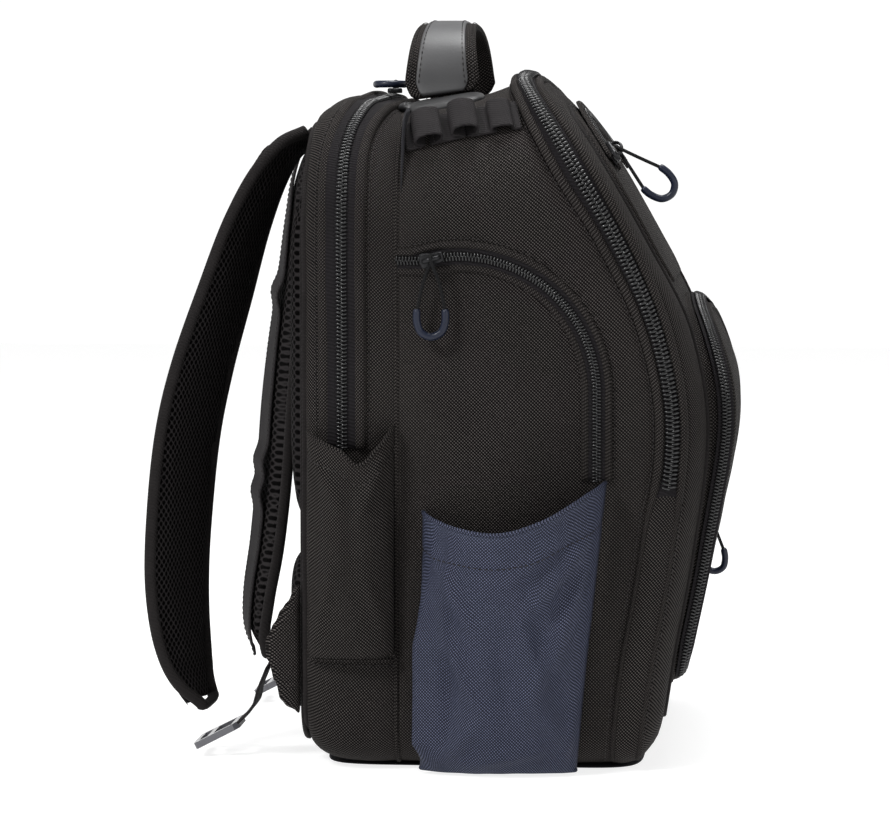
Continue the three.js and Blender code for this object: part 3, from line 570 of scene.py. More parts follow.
# ---------------------------------------------------------------- sections of the bag
SEAM_X = -12.0
REAR_X = -67.0
BODY_HALF = 155.0
GAP = 0.4
SIDE_Y = 156.0

zip_rear = along([(0, 112), (61, 118), (125, 129), (200, 138), (256, 128), (309, 103), (347, 79), (404, 47)])
zip_front = along([(0, 127), (61, 136), (125, 147), (200, 155), (256, 146), (309, 125), (362, 95), (404, 64)])
pocket_depth = along([(40, 8), (110, 10), (160, 12), (225, 17), (275, 12)])
rear_zip_x = along([(190, -43), (350, -43), (372, -40), (388, -33), (394, -27)])
front_depth = along([(0, 12), (255, 12), (310, 6.5), (404, 5.5)])


def organiser_x(part):
    return lambda z: zip_front(z) + part * front_depth(z)


face_x = organiser_x(1.0)


def flat_x(x):
    return lambda z: np.full_like(np.asarray(z, float), x)


def mixed(a, b, t):
    return lambda z: a(z) * (1 - t) + b(z) * t


def half_outline(half, low, high, low_corner, top_corner, crown):
    """Half of an upright section, from the middle of its floor up the -Y side to the middle of its top."""
    wall_top = high - crown - top_corner
    a = np.linspace(0, np.pi / 2, 12)
    floor_y = np.linspace(0, half - low_corner, 12)[:-1]
    wall_z = np.linspace(low + low_corner, wall_top, 64)[1:-1]
    b = np.linspace(0, np.pi / 2, 30)
    flat_half = half - top_corner
    crown_y = np.linspace(flat_half, 0, 16)[1:]
    y = np.concatenate([floor_y, half - low_corner + low_corner * np.sin(a), np.full(len(wall_z), half),
                        half - top_corner + top_corner * np.cos(b), crown_y])
    z = np.concatenate([np.full(len(floor_y), low), low + low_corner * (1 - np.cos(a)), wall_z,
                        wall_top + top_corner * np.sin(b), high - crown * (crown_y / max(flat_half, 1)) ** 2])
    return -y, z


def station_weights(count, at):
    """Weights of the stations for a smooth blend at a place from 0 to count - 1."""
    return np.array([along([(i, float(i == k)) for i in range(count)])(at) for k in range(count)])


DEFAULTS = {"low_corner": 22.0, "top_corner": 68.0, "crown": 5.0}


def outline_rings(stations, places):
    """Closed rings of points through stations, at places from 0 to 1 across them."""
    rings = []
    for w in places:
        weights = station_weights(len(stations), w * (len(stations) - 1))
        size = {k: float(sum(g * {**DEFAULTS, **s}[k] for g, s in zip(weights, stations)))
                for k in ("half", "low", "high", "low_corner", "top_corner", "crown")}
        y, z = half_outline(**size)
        x = sum(g * s["x"](z) for g, s in zip(weights, stations))
        half = np.stack([x, y, z], axis=1)
        other = half[1:-1][::-1] * [1, -1, 1]
        rings.append(np.vstack([half, other]))
    return np.array(rings)


class Skin:
    """The outer cloth of one shell: a grid of rings, puffed out between its seams and creased."""

    def __init__(self, stations, across, puff, crease, seed, seam=0.5):
        self.places = 0.5 - 0.5 * np.cos(np.linspace(0, np.pi, across)) * 0.85
        self.places = (self.places - self.places[0]) / (self.places[-1] - self.places[0])
        points = outline_rings(stations, self.places)
        normals = grid_normals(points, closed_columns=True)
        middle = points.mean(axis=(0, 1))
        if ((points - middle) * normals).sum() < 0:
            normals = -normals
        w = self.places[:, None]
        bulge = np.sin(np.pi * w) ** 0.6
        slow = wobble(points, 62.0, seed)
        fine = wobble(points * [1, 1, 0.6], 24.0, seed + 3)
        lift = puff * bulge + crease * bulge * (0.75 * slow + 0.35 * fine - 0.45) - seam * (1 - bulge)
        floor = np.clip((points[:, :, 2] - 2) / 16, 0, 1)
        self.points = points + normals * (lift * floor)[:, :, None]
        self.normals = grid_normals(self.points, closed_columns=True)
        if (self.normals * normals).sum() < 0:
            self.normals = -self.normals
        scuffed = np.clip(1 - (points[:, :, 2] - 2) / 14, 0, 1)
        self.wear = np.clip(1 - bulge * 1.15, 0, 1) * 0.5 + 0.8 * scuffed
        self.weave = cloth_places(self.points)

    def ring(self, w, lift=0.0):
        """The ring of points and normals at a place across the shell, lifted off its cloth."""
        k = int(np.argmin(np.abs(self.places - w)))
        return self.points[k] + self.normals[k] * lift, self.normals[k]


def skin_object(name, skin, material, thickness=1.6):
    rows, columns = skin.points.shape[:2]
    faces = grid_faces(rows, columns, closed_columns=True)
    a, b, c = skin.points[0, 0], skin.points[0, 1], skin.points[1, 1]
    if np.dot(np.cross(b - a, c - b), skin.normals[0, 0]) < 0:
        faces = [face[::-1] for face in faces]
    made = new_object(name, skin.points.reshape(-1, 3), faces, material, wear=skin.wear)
    set_weave(made.data, skin.weave)
    return thicken(made, thickness)


def filled_face(name, ring, x_of, normal_x, material, puff, crease, seed, rows=26):
    """Cloth closing a ring: rings shrinking to the middle, on the surface x_of(z)."""
    centre = np.array([0, 0, (ring[:, 2].min() + ring[:, 2].max()) / 2])
    shrink = np.linspace(0, 1, rows)[:, None, None]
    points = ring[None] * (1 - shrink) + centre * shrink
    edge = ring[:, 0] - x_of(ring[:, 2])
    rise = np.sin(np.pi / 2 * np.clip(shrink * 1.4, 0, 1)) ** 0.8
    offset = edge[None, :] * (1 - np.clip(shrink[..., 0] * 4, 0, 1))
    points[:, :, 0] = x_of(points[:, :, 2]) + offset
    lift = puff * rise[:, :, 0] + crease * rise[:, :, 0] * (0.7 * wobble(points, 70.0, seed)
                                                            + 0.4 * wobble(points, 26.0, seed + 5))
    points[:, :, 0] += normal_x * lift
    columns = points.shape[1]
    faces = grid_faces(rows - 1, columns, closed_columns=True)
    flat = points[:-1].reshape(-1, 3)
    flat = np.vstack([flat, points[-1].mean(axis=0, keepdims=True)])
    tip = len(flat) - 1
    last = (rows - 2) * columns
    faces += [(last + c, last + (c + 1) % columns, tip) for c in range(columns)]
    a, b, c = flat[0], flat[1], flat[columns + 1]
    if np.cross(b - a, c - b)[0] * normal_x < 0:
        faces = [face[::-1] for face in faces]
    ring_wear = np.clip(1 - np.linspace(0, 1, rows - 1) * 14, 0, 1) * 0.6
    wear = np.append(np.repeat(ring_wear, columns), 0.0)
    return thicken(new_object(name, flat, faces, material, wear=wear), 1.6)


REAR_STATIONS = [
    {"x": flat_x(REAR_X), "half": 143, "low": 24, "high": 380},
    {"x": flat_x(REAR_X + 5), "half": 150, "low": 13, "high": 388},
    {"x": flat_x(REAR_X + 17), "half": 154, "low": 5.6, "high": 393},
    {"x": flat_x(REAR_X + 36), "half": BODY_HALF, "low": 3.1, "high": 393},
    {"x": flat_x(SEAM_X), "half": 153, "low": 3.1, "high": 390},
]
MAIN_STATIONS = [
    {"x": flat_x(SEAM_X + GAP), "half": 153, "low": 3.1, "high": 390},
    {"x": mixed(flat_x(SEAM_X), zip_rear, 0.3), "half": BODY_HALF, "low": 3.1, "high": 391},
    {"x": mixed(flat_x(SEAM_X), zip_rear, 0.7), "half": 153, "low": 3.1, "high": 396},
    {"x": zip_rear, "half": 149, "low": 3.1, "high": 403},
]
BAND_STATIONS = [
    {"x": lambda z: zip_rear(z) + GAP, "half": 149, "low": 3.1, "high": 404},
    {"x": mixed(zip_rear, zip_front, 0.5), "half": 150, "low": 3.1, "high": 408},
    {"x": zip_front, "half": 147, "low": 4.6, "high": 404},
]
ORGANISER_STATIONS = [
    {"x": lambda z: zip_front(z) + GAP, "half": 146, "low": 4.6, "high": 403},
    {"x": organiser_x(0.3), "half": 143, "low": 8, "high": 402},
    {"x": organiser_x(0.75), "half": 132, "low": 16, "high": 397},
    {"x": face_x, "half": 118, "low": 27, "high": 388, "top_corner": 55},
]
POCKET_STATIONS = [
    {"x": lambda z: face_x(z) + GAP, "half": 113, "low": 46, "high": 273, "top_corner": 58},
    {"x": lambda z: face_x(z) + pocket_depth(z) * 0.75, "half": 111, "low": 49, "high": 271,
     "top_corner": 56},
    {"x": lambda z: face_x(z) + pocket_depth(z), "half": 103, "low": 56, "high": 264, "top_corner": 50},
]

rear_skin = Skin(REAR_STATIONS, 26, 2.2, 1.8, 1, 1.4)
main_skin = Skin(MAIN_STATIONS, 54, 1.9, 2.6, 2, 1.4)
band_skin = Skin(BAND_STATIONS, 12, 0.2, 0.3, 3, 0.2)
organiser_skin = Skin(ORGANISER_STATIONS, 12, 0.8, 0.8, 4, 0.8)
pocket_skin = Skin(POCKET_STATIONS, 10, 0.3, 0.5, 5)

finish_piece(skin_object("rear_compartment", rear_skin, BLACK_TWILL), nodes=["rear_shell"])
finish_piece(skin_object("main_compartment", main_skin, BLACK_TWILL), nodes=["main_shell"])
finish_piece(skin_object("zipper_gusset", band_skin, TAPE))
finish_piece(skin_object("organiser", organiser_skin, BLACK_TWILL), nodes=["organiser_shell"])
finish_piece(skin_object("lower_pocket", pocket_skin, BLACK_TWILL, 1.2),
             nodes=["lower_pocket_shell"])
finish_piece(filled_face("rear_face", rear_skin.points[0], flat_x(REAR_X), -1, BLACK_TWILL, 0.2, 0.4, 11))
finish_piece(filled_face("organiser_face", organiser_skin.points[-1], face_x, 1, BLACK_TWILL, 1.4, 1.2, 12))
finish_piece(filled_face("lower_pocket_face", pocket_skin.points[-1],
                         lambda z: face_x(z) + pocket_depth(z), 1, BLACK_TWILL, 2.6, 1.6, 13))


# ---------------------------------------------------------------- lying on the cloth
def smoothed(values, times):
    for _ in range(times):
        inner = (values[:-2] + 2 * values[1:-1] + values[2:]) / 4
        values = np.vstack([values[:1], inner, values[-1:]])
    return values


def tree_of(grid):
    rows, columns = grid.shape[:2]
    faces = grid_faces(rows, columns, closed_columns=True)
    return BVHTree.FromPolygons([Vector(p) for p in grid.reshape(-1, 3)], faces)


def drape(points, directions, tree, lift=0.0, reach=40.0):
    """Moves points along their directions onto a surface, met from outside; lift stands off it."""
    points = np.asarray(points, float)
    directions = np.broadcast_to(np.asarray(directions, float), points.shape)
    laid, normals = [], []
    for p, d in zip(points, directions):
        hit, normal, _, _ = tree.ray_cast(Vector(p + d * reach), Vector(-d), 2 * reach)
        if hit is None:
            laid.append(p + d * lift)
            normals.append(d)
            continue
        normal = np.array(normal)
        if normal @ d < 0:
            normal = -normal
        laid.append(np.array(hit) + d * lift)
        normals.append(normal)
    return np.array(laid), smoothed(np.array(normals), 2)


def upper_part(points, normals, low):
    """The part of a ring above z = low, in order from the -Y side over the top to the +Y side."""
    keep = np.flatnonzero(points[:, 2] > low)
    keep = keep[(keep > 6) & (keep < len(points) - 6)]
    return points[keep], normals[keep]


def welt(name, points, normals, width, height, material, closed=False):
    made = sweep(name, points, normals, dome(width, height), material, closed_path=closed,
                 wear=np.full(len(points), 0.35))
    return finish_piece(made)


def ring_at(x_of, half, low, high, **corners):
    """One section's ring of points on the surface x_of(z), and its outward directions."""
    station = {"x": x_of, "half": half, "low": low, "high": high, **corners}
    ring = outline_rings([station, station], [0.0])[0]
    flat = ring.copy()
    flat[:, 0] = 0
    run = unit(np.roll(flat, -1, axis=0) - np.roll(flat, 1, axis=0))
    out = np.cross(run, [1, 0, 0])
    middle = flat.mean(axis=0)
    out = np.where((((flat - middle) * out).sum(axis=1) < 0)[:, None], -out, out)
    return ring, out


# ---------------------------------------------------------------- main zipper
MAIN_CHAIN_LOW = 167.0
band_mesh = bpy.data.objects["zipper_gusset"].data
band_mesh.materials.append(BLACK_TWILL)
for polygon in band_mesh.polygons:
    polygon.material_index = int(polygon.center.z < MAIN_CHAIN_LOW / 1000 - 0.006)

middle_line = upper_part(*band_skin.ring(0.5), MAIN_CHAIN_LOW)
chain = coil_chain("main_chain", middle_line[0] + middle_line[1] * 1.1, middle_line[1], 9.0, 2.5)
finish_piece(chain, nodes=["main_zipper"])
for word, w in (("rear", 0.0), ("front", 1.0)):
    line, outs = band_skin.ring(w)
    line, outs = upper_part(line, outs, 6)
    inward = 2.4 if w == 0 else -1.2
    tall = np.clip((line[:, 2] - 150) / 25, 0, 1)
    profile = np.stack([dome(2.6 + 3.0 * t, 1.1 + 1.7 * t) for t in tall])
    runs = unit(np.gradient(line, axis=0))
    across = np.cross(runs, outs)
    towards = np.sign((across @ np.array([1.0, 0, 0])).sum()) * inward
    line = line + across * towards * tall[:, None]
    made = sweep(f"main_zipper_welt_{word}", line, outs, profile, BLACK_TWILL, wear=np.full(len(line), 0.4))
    finish_piece(made)
    stitches("bag", line, outs, towards * -1.6, lift=0.9)

# ---------------------------------------------------------------- rear zipper
rear_tree = tree_of(rear_skin.points)
rear_ring, rear_out = ring_at(rear_zip_x, BODY_HALF, 3.1, 394.5)
rear_line, rear_dirs = upper_part(rear_ring, rear_out, 186)
rear_path, rear_normals = drape(rear_line, rear_dirs, rear_tree, 0.5)
tape = sweep("rear_zipper_tape", rear_path, rear_normals, rounded(19, 0.9, power=0.3), TAPE)
finish_piece(tape, nodes=["rear_zipper"])
chain = coil_chain("rear_chain", rear_path + rear_normals * 1.3, rear_normals, 7.2, 2.2)
finish_piece(chain)
for word, shift in (("rear", -1), ("front", 1)):
    line = rear_line + [10.6 * shift, 0, 0]
    line, outs = drape(line, rear_dirs, rear_tree, 0.1)
    welt(f"rear_zipper_welt_{word}", line, outs, 6.4, 3.0, BLACK_TWILL)
    line, outs = drape(rear_line + [15.6 * shift, 0, 0], rear_dirs, rear_tree, 0.1)
    stitches("bag", line, outs, 0, lift=0.2)

# ---------------------------------------------------------------- accessory pocket zippers
ARC_X, ARC_Z, ARC_RADIUS, ARC_START, TAIL_LOW = 25.0, 222.0, 79.0, math.radians(105), 172.0
main_tree = tree_of(main_skin.points)


def arc_line(radius, start, count=90):
    """The side pocket's arc at a radius: level from the rear seam, round, and down the straight tail."""
    a = np.linspace(start, 0, count)
    level = np.linspace(SEAM_X + 1, ARC_X + radius * np.cos(start), 14)[:-1]
    lead = np.stack([level, np.full(13, -SIDE_Y), np.full(13, ARC_Z + radius * np.sin(start))], axis=1)
    arc = np.stack([ARC_X + radius * np.cos(a), np.full(count, -SIDE_Y), ARC_Z + radius * np.sin(a)], axis=1)
    down = np.linspace(ARC_Z, TAIL_LOW, 24)[1:]
    straight = np.stack([np.full(23, ARC_X + radius), np.full(23, -SIDE_Y), down], axis=1)
    return smoothed(np.vstack([lead, arc, straight]), 4)


def side_line(radius, start, lift, turn):
    """An arc laid on the main compartment's side, with its outward directions."""
    laid, outs = drape(arc_line(radius, start), (0, -1, 0), main_tree, lift)
    return turn(laid), turn(outs)


for word, _, turn in SIDES:
    line, outs = side_line(ARC_RADIUS, ARC_START, 0.2, turn)
    finish_piece(sweep(f"side_zipper_tape_{word}", line, outs, rounded(13, 0.8, power=0.3), TAPE),
                 nodes=[f"side_zipper_{word}"])
    finish_piece(coil_chain(f"side_chain_{word}", line + outs * 1.0, outs, 6.0, 1.9))
    for name, radius, start, height in (("inner", ARC_RADIUS - 6.6, 105, 1.9),
                                        ("outer", ARC_RADIUS + 6.8, 109, 2.6)):
        line, outs = side_line(radius, math.radians(start), 0.0, turn)
        welt(f"side_{name}_welt_{word}", line, outs, 4.2, height, BLACK_TWILL)
    line, outs = side_line(ARC_RADIUS + 10.5, math.radians(108), 0.1, turn)
    stitches("bag", line, outs, 0, lift=0.2)

# ---------------------------------------------------------------- lower pocket zipper
line, outs = upper_part(*pocket_skin.ring(0.42), 52)
finish_piece(coil_chain("lower_pocket_chain", line + outs * 1.2, outs, 6.4, 2.0),
             nodes=["lower_pocket_zipper"])
finish_piece(sweep("lower_pocket_tape", line, outs, rounded(10, 0.9, power=0.3), TAPE))
line, outs = upper_part(*pocket_skin.ring(0.92), 47)
welt("lower_pocket_front_welt", line, outs, 4.2, 1.6, BLACK_TWILL)
line, outs = upper_part(*pocket_skin.ring(0.0), 47)
welt("lower_pocket_rear_welt", line, outs, 3.4, 1.6, BLACK_TWILL)

# ---------------------------------------------------------------- upper pocket
ARCH_RADIUS, ARCH_HALF, ARCH_TOP_Z, ARCH_LOW_Z, ARCH_LIFT = 100.0, math.radians(50), 384.0, 352.0, 5.2
arch_top = np.array([float(face_x(ARCH_TOP_Z)) + ARCH_LIFT, 0, ARCH_TOP_Z])
arch_down = unit([float(face_x(ARCH_LOW_Z) - face_x(ARCH_TOP_Z)), 0, ARCH_LOW_Z - ARCH_TOP_Z])
arch_centre = arch_top + arch_down * ARCH_RADIUS
arch_normal = unit(np.cross([0, -1, 0], arch_down))


def arch_point(angle, radius=ARCH_RADIUS):
    angle = np.atleast_1d(angle)[:, None]
    return arch_centre - arch_down * radius * np.cos(angle) - np.array([0, radius, 0]) * np.sin(angle)


def panel_face(name, outline, x_of, lift, puff, material, nodes):
    """A sewn panel bulging from the face behind it, with a turned edge."""
    ring = outline.copy()
    ring[:, 0] = x_of(ring[:, 2])
    centre = np.array([0, 0, (ring[:, 2].min() + ring[:, 2].max()) / 2])
    k = np.concatenate([[0, 0, 0.012], np.linspace(0.03, 1, 26)])
    points = ring[None] * (1 - k[:, None, None]) + centre * k[:, None, None]
    rise = np.concatenate([[-1.0, 0.55, 0.95], 1 + 0 * k[3:]])
    swell = puff * np.sin(np.pi / 2 * np.clip(k * 1.7, 0, 1))
    points[:, :, 0] = x_of(points[:, :, 2]) + (rise * lift + swell)[:, None]
    points[3:, :, 0] += 0.8 * (wobble(points[3:], 46.0, 21) * np.clip(k[3:] * 6, 0, 1)[:, None])
    rows, columns = points.shape[:2]
    made = new_object(name, points.reshape(-1, 3), grid_faces(rows, columns, closed_columns=True), material,
                      wear=np.repeat(np.clip(0.7 - k * 9, 0, 1), columns))
    modifier(made, "WELD", merge_threshold=0.00005)
    normal = grid_normals(points, closed_columns=True)[10, 10]
    if normal[0] < 0:
        made.data.flip_normals()
    return finish_piece(made, nodes=nodes)


upper_ring, _ = ring_at(flat_x(0), 96, 284, 388, low_corner=12, top_corner=52, crown=4)
panel_face("upper_pocket", upper_ring, face_x, 2.6, 2.4, BLACK_TWILL, ["upper_pocket_panel"])
angles = np.linspace(-ARCH_HALF, ARCH_HALF, 90)
arch = arch_point(angles)
arch_normals = np.broadcast_to(arch_normal, arch.shape)
finish_piece(sweep("upper_pocket_tape", arch, arch_normals, rounded(13, 1.2, power=0.3), TAPE),
             nodes=["upper_pocket_zipper"])
finish_piece(coil_chain("upper_pocket_chain", arch + arch_normals * 1.7, arch_normals, 5.8, 1.8))
for word, radius in (("inner", ARCH_RADIUS - 7), ("outer", ARCH_RADIUS + 7)):
    welt(f"upper_pocket_{word}_welt", arch_point(angles, radius), arch_normals, 4.4, 2.0, BLACK_TWILL)

# ---------------------------------------------------------------- seams
line, outs = upper_part(*rear_skin.ring(1.0), 4)
welt("side_seam", line, outs, 3.0, 1.4, BLACK_TWILL)
line, outs = upper_part(*rear_skin.ring(0.06), 8)
welt("rear_edge_piping", line, outs, 4.4, 2.4, BINDING)
line, outs = upper_part(*organiser_skin.ring(1.0), 22)
welt("front_edge_piping", line, outs, 3.6, 1.8, BINDING)


def boot_line(skin_tree, x0, x1, z, count=30):
    """A level line laid on a shell's side, with its outward directions."""
    level = np.stack([np.linspace(x0, x1, count), np.full(count, -SIDE_Y), np.full(count, z)], axis=1)
    return drape(level, (0, -1, 0), skin_tree, 0.1)


for word, _, turn in SIDES:
    line, outs = boot_line(rear_tree, -63, -14, 66)
    welt(f"boot_seam_{word}", turn(line), turn(outs), 2.4, 1.0, BLACK_TWILL)
    stitches("bag", turn(line) - [0, 0, 3.4], turn(outs), 0, lift=0.3)


def ridge(px, pz, a, b, width):
    """Height from 0 to 1 of a fold running from a to b, fading at both ends."""
    a, b = np.array(a, float), np.array(b, float)
    run = b - a
    s = np.clip(((px - a[0]) * run[0] + (pz - a[1]) * run[1]) / (run @ run), 0, 1)
    away = np.hypot(px - a[0] - s * run[0], pz - a[1] - s * run[1])
    return np.exp(-(away / width) ** 2) * np.sin(np.pi * np.clip(s, 0.04, 0.97)) ** 0.7


def open_pocket(name, node, rear, front, low, rim, bulge, folds, depth, bellows, material, seed, hem):
    """Cloth standing off the bag's side, open at its rim; built on the left and mirrored."""
    u = np.linspace(0, 1, 73)
    t = np.concatenate([[0, 0, 0], np.linspace(0, 1, 58)])
    closing = np.concatenate([[0.0, 0.55, 0.9], np.ones(58)])[:, None]
    z = low + t[:, None] * (rim(u)[None] - low)
    z[0] += 2.2
    z[1] += 0.6
    top = rim(u).max()
    x = rear(z) * (1 - u[None]) + front(z) * u[None]
    swell = bulge((z - low) / (top - low)) * np.sin(np.pi * u[None]) ** 0.55 * closing
    x = x - bellows(z) * np.sin(np.pi * np.clip(u[None] / 0.17, 0, 1)) * closing
    y = -(SIDE_Y + 0.4 + swell)
    points = np.stack([x, y, z], axis=2)
    normals = grid_normals(points)
    if (normals[:, :, 1]).sum() > 0:
        normals = -normals
    lift = sum(depth * height * ridge(x, z, a, b, width) for a, b, width, height in folds)
    lift = lift + 0.9 * wobble(points, 34.0, seed) + 0.4 * wobble(points, 12.0, seed + 2)
    lift = lift * closing * np.clip(np.sin(np.pi * u[None]) * 4, 0, 1)
    hem_line = np.abs((rim(u)[None] - z) - hem)
    lift = lift - 0.7 * np.exp(-(hem_line / 1.6) ** 2)
    points = points + normals * lift[:, :, None]
    rows, columns = points.shape[:2]
    faces = grid_faces(rows, columns)
    wear = 0.7 * np.exp(-((rim(u)[None] - z) / 3.0) ** 2) + 0.35 * np.clip(1 - (z - low) / 8, 0, 1)
    made = new_object(f"{name}_left", points.reshape(-1, 3), faces, material, wear=wear)
    set_weave(made.data, cloth_places(points))
    if grid_normals(points)[30, 36][1] > 0:
        made.data.flip_normals()
    thicken(made, 1.3)
    right = mirror_mesh(made, f"{name}_right")
    area = float(np.linalg.norm(np.cross(np.diff(points, axis=0)[:, :-1], np.diff(points, axis=1)[:-1]),
                                axis=2).sum()) / 1e6
    rim_points, rim_normals = points[-1], grid_normals(points)[-1]
    hem_row = int(np.argmin(np.abs(t - (1 - hem / (rim(u).mean() - low)))))
    for (word, _, turn), piece in zip(SIDES, (made, right)):
        finish_piece(piece, nodes=[f"{node}_{word}"])
        outs = turn(rim_normals * (-1 if rim_normals[36][1] > 0 else 1))
        edge = sweep(f"{name}_rim_{word}", turn(rim_points), outs, rounded(2.6, 2.6, 10, 1.0) - [0, 1.9],
                     material)
        finish_piece(edge)
        stitches("bag", turn(points[hem_row]), outs, 0, lift=0.1)
    return area


bottle_rim = along([(0, 153), (0.08, 150), (0.2, 146.5), (0.42, 144), (0.58, 147), (0.74, 154), (0.9, 165),
                    (1, 171)])
bottle_front = along([(0, 93), (66, 99), (102, 103), (168, 110)])
# folds: from (x, z), to (x, z), width, height
bottle_folds = [
    ((107, 152), (62, 92), 4.6, 3.4), ((105, 140), (78, 78), 3.4, 2.6), ((103, 118), (66, 44), 4.6, 2.6),
    ((97, 150), (50, 112), 4.2, 2.0), ((9, 138), (36, 84), 4.4, 2.6), ((12, 120), (26, 60), 3.6, 2.2),
    ((10, 96), (44, 30), 4.6, 2.0), ((92, 14), (64, 54), 5, 2.4), ((14, 8), (40, 36), 5, 2.2),
    ((98, 66), (86, 6), 3.2, 2.0), ((30, 8), (78, 18), 4.2, 2.2), ((48, 100), (58, 22), 8, -2.0),
    ((66, 110), (84, 40), 4.2, -2.0), ((22, 96), (20, 24), 4.0, -1.8),
]
bottle_area = open_pocket(
    "bottle_cloth", "bottle_pocket", lambda z: 2 + 0.01 * z, bottle_front, 2.2, bottle_rim,
    lambda t: 9 + 35 * np.clip(t, 0, 1) ** 0.7, bottle_folds, 1.7,
    lambda z: 11 * np.clip((z - 4) / 14, 0, 1) * np.clip((128 - z) / 50, 0, 1),
    NAVY_TWILL, 31, 22)

umbrella_rim = along([(0, 199), (0.2, 194), (0.42, 189), (0.62, 181), (0.84, 191), (1, 202)])
umbrella_folds = [
    ((-60, 190), (-40, 150), 4, 1.8), ((-16, 192), (-34, 146), 4, 2.0),
    ((-38, 180), (-36, 110), 5, -1.6), ((-58, 80), (-46, 130), 4, 1.4), ((-18, 82), (-30, 120), 4, 1.2),
]
umbrella_area = open_pocket(
    "umbrella_cloth", "umbrella_pocket", flat_x(-63.5), flat_x(-12.5), 68, umbrella_rim,
    lambda t: 9 + 11 * np.clip(t, 0, 1), umbrella_folds, 1.3, lambda z: 0 * z,
    BLACK_TWILL, 41, 12)


# ---------------------------------------------------------------- padded pieces
def pillow(outline, direction, front_thick, back_thick=0.0, rows=12):
    """Closed pad inside an outline ring: crowned towards direction, and away from it by back_thick."""
    outline = np.asarray(outline, float)
    centre = outline.mean(axis=0)
    direction = np.asarray(direction, float)
    k = 1 - np.cos(np.linspace(0, np.pi / 2, rows))

    def level(t, thick):
        return outline * (1 - t) + centre * t + direction * thick * (1 - (1 - t) ** 5) ** 0.5

    front = [level(t, front_thick) for t in k[:-1]]
    back = [level(t, -back_thick) for t in k[1:-1]]
    columns = len(outline)
    points = np.vstack([*back[::-1], *front])
    count = len(back) + len(front)
    faces = grid_faces(count, columns, closed_columns=True)
    low_tip, high_tip = len(points), len(points) + 1
    points = np.vstack([points, centre - direction * back_thick, centre + direction * front_thick])
    faces += [((c + 1) % columns, c, low_tip) for c in range(columns)]
    top = (count - 1) * columns
    faces += [(top + c, top + (c + 1) % columns, high_tip) for c in range(columns)]
    return points, faces


def outward(obj):
    """Turns a closed mesh's faces out."""
    mesh = obj.data
    volume = sum(mesh.vertices[p.vertices[0]].co.dot(
        (mesh.vertices[p.vertices[1]].co).cross(mesh.vertices[p.vertices[2]].co)) * (len(p.vertices) - 2)
        for p in mesh.polygons)
    if volume < 0:
        mesh.flip_normals()
    return obj


CLOTH_FRAMES = 20
CLOTH_SETTINGS = {"quality": 5, "mass": 0.3, "tension_stiffness": 18, "compression_stiffness": 18,
                  "shear_stiffness": 6, "bending_stiffness": 0.4, "use_pressure": True}


def inflate(obj, cap, pressure=4.0, voxel=0.005, pinned=None):
    """Remeshes a closed pad and swells it as cloth under pressure; no point moves further than cap."""
    modifier(obj, "REMESH", mode="VOXEL", voxel_size=voxel, use_smooth_shade=True)
    apply_all(obj)
    rest = vertex_array(obj.data)
    if pinned is not None:
        held = [int(i) for i in np.flatnonzero(pinned(rest))]
        group = obj.vertex_groups.new(name="held")
        group.add(held, 1.0, "REPLACE")
    cloth = modifier(obj, "CLOTH")
    for setting, value in {**CLOTH_SETTINGS, "uniform_pressure_force": pressure}.items():
        setattr(cloth.settings, setting, value)
    cloth.settings.effector_weights.gravity = 0
    if pinned is not None:
        cloth.settings.vertex_group_mass = "held"
    cloth.point_cache.frame_start, cloth.point_cache.frame_end = 1, CLOTH_FRAMES
    for step in range(1, CLOTH_FRAMES + 1):
        bpy.context.scene.frame_set(step)
    evaluated = obj.evaluated_get(bpy.context.evaluated_depsgraph_get())
    swollen = vertex_array(evaluated.data)
    obj.modifiers.clear()
    bpy.context.scene.frame_set(1)
    move = swollen - rest
    length = np.linalg.norm(move, axis=1, keepdims=True)
    moved = rest + move * np.minimum(1, cap / 1000 / np.maximum(length, 1e-9))
    obj.data.vertices.foreach_set("co", moved.ravel())
    obj.vertex_groups.clear()
    modifier(obj, "SUBSURF", levels=1, render_levels=1)
    obj.data.update()
    return obj


def vertex_array(mesh):
    flat = np.empty(len(mesh.vertices) * 3)
    mesh.vertices.foreach_get("co", flat)
    return flat.reshape(-1, 3)


def apply_all(obj):
    """Bakes an object's modifiers into its mesh."""
    evaluated = obj.evaluated_get(bpy.context.evaluated_depsgraph_get())
    mesh = bpy.data.meshes.new_from_object(evaluated)
    old = obj.data
    obj.modifiers.clear()
    obj.data = mesh
    mesh.name = obj.name
    bpy.data.meshes.remove(old)
    mesh.polygons.foreach_set("use_smooth", [True] * len(mesh.polygons))


def against_board(rest):
    """The points of a back pad that are sewn to the board."""
    return rest[:, 0] > (PAD_X + SHIFT[0] - 1.5) / 1000


def back_pad(name, outline, thick, cap, node):
    """Air mesh pad on the wearer's side, held along the board and swollen towards the wearer."""
    made = outward(new_object(name, *pillow(outline, (-1, 0, 0), thick, 0.2), AIR_MESH))
    inflate(made, cap, pinned=against_board)
    finish_piece(made, nodes=[node])


# ---------------------------------------------------------------- the wearer's side
PAD_X = -70.2


def panel_outline(y0, y1, z0, z1):
    """Even ring of a back pad's edge, with rounded corners."""
    ring, _ = ring_at(flat_x(PAD_X), (y1 - y0) / 2, z0, z1, low_corner=24, top_corner=24, crown=2)
    even, _ = spaced(ring, pitch=4.0, closed=True)
    return even + [0, (y0 + y1) / 2, 0]


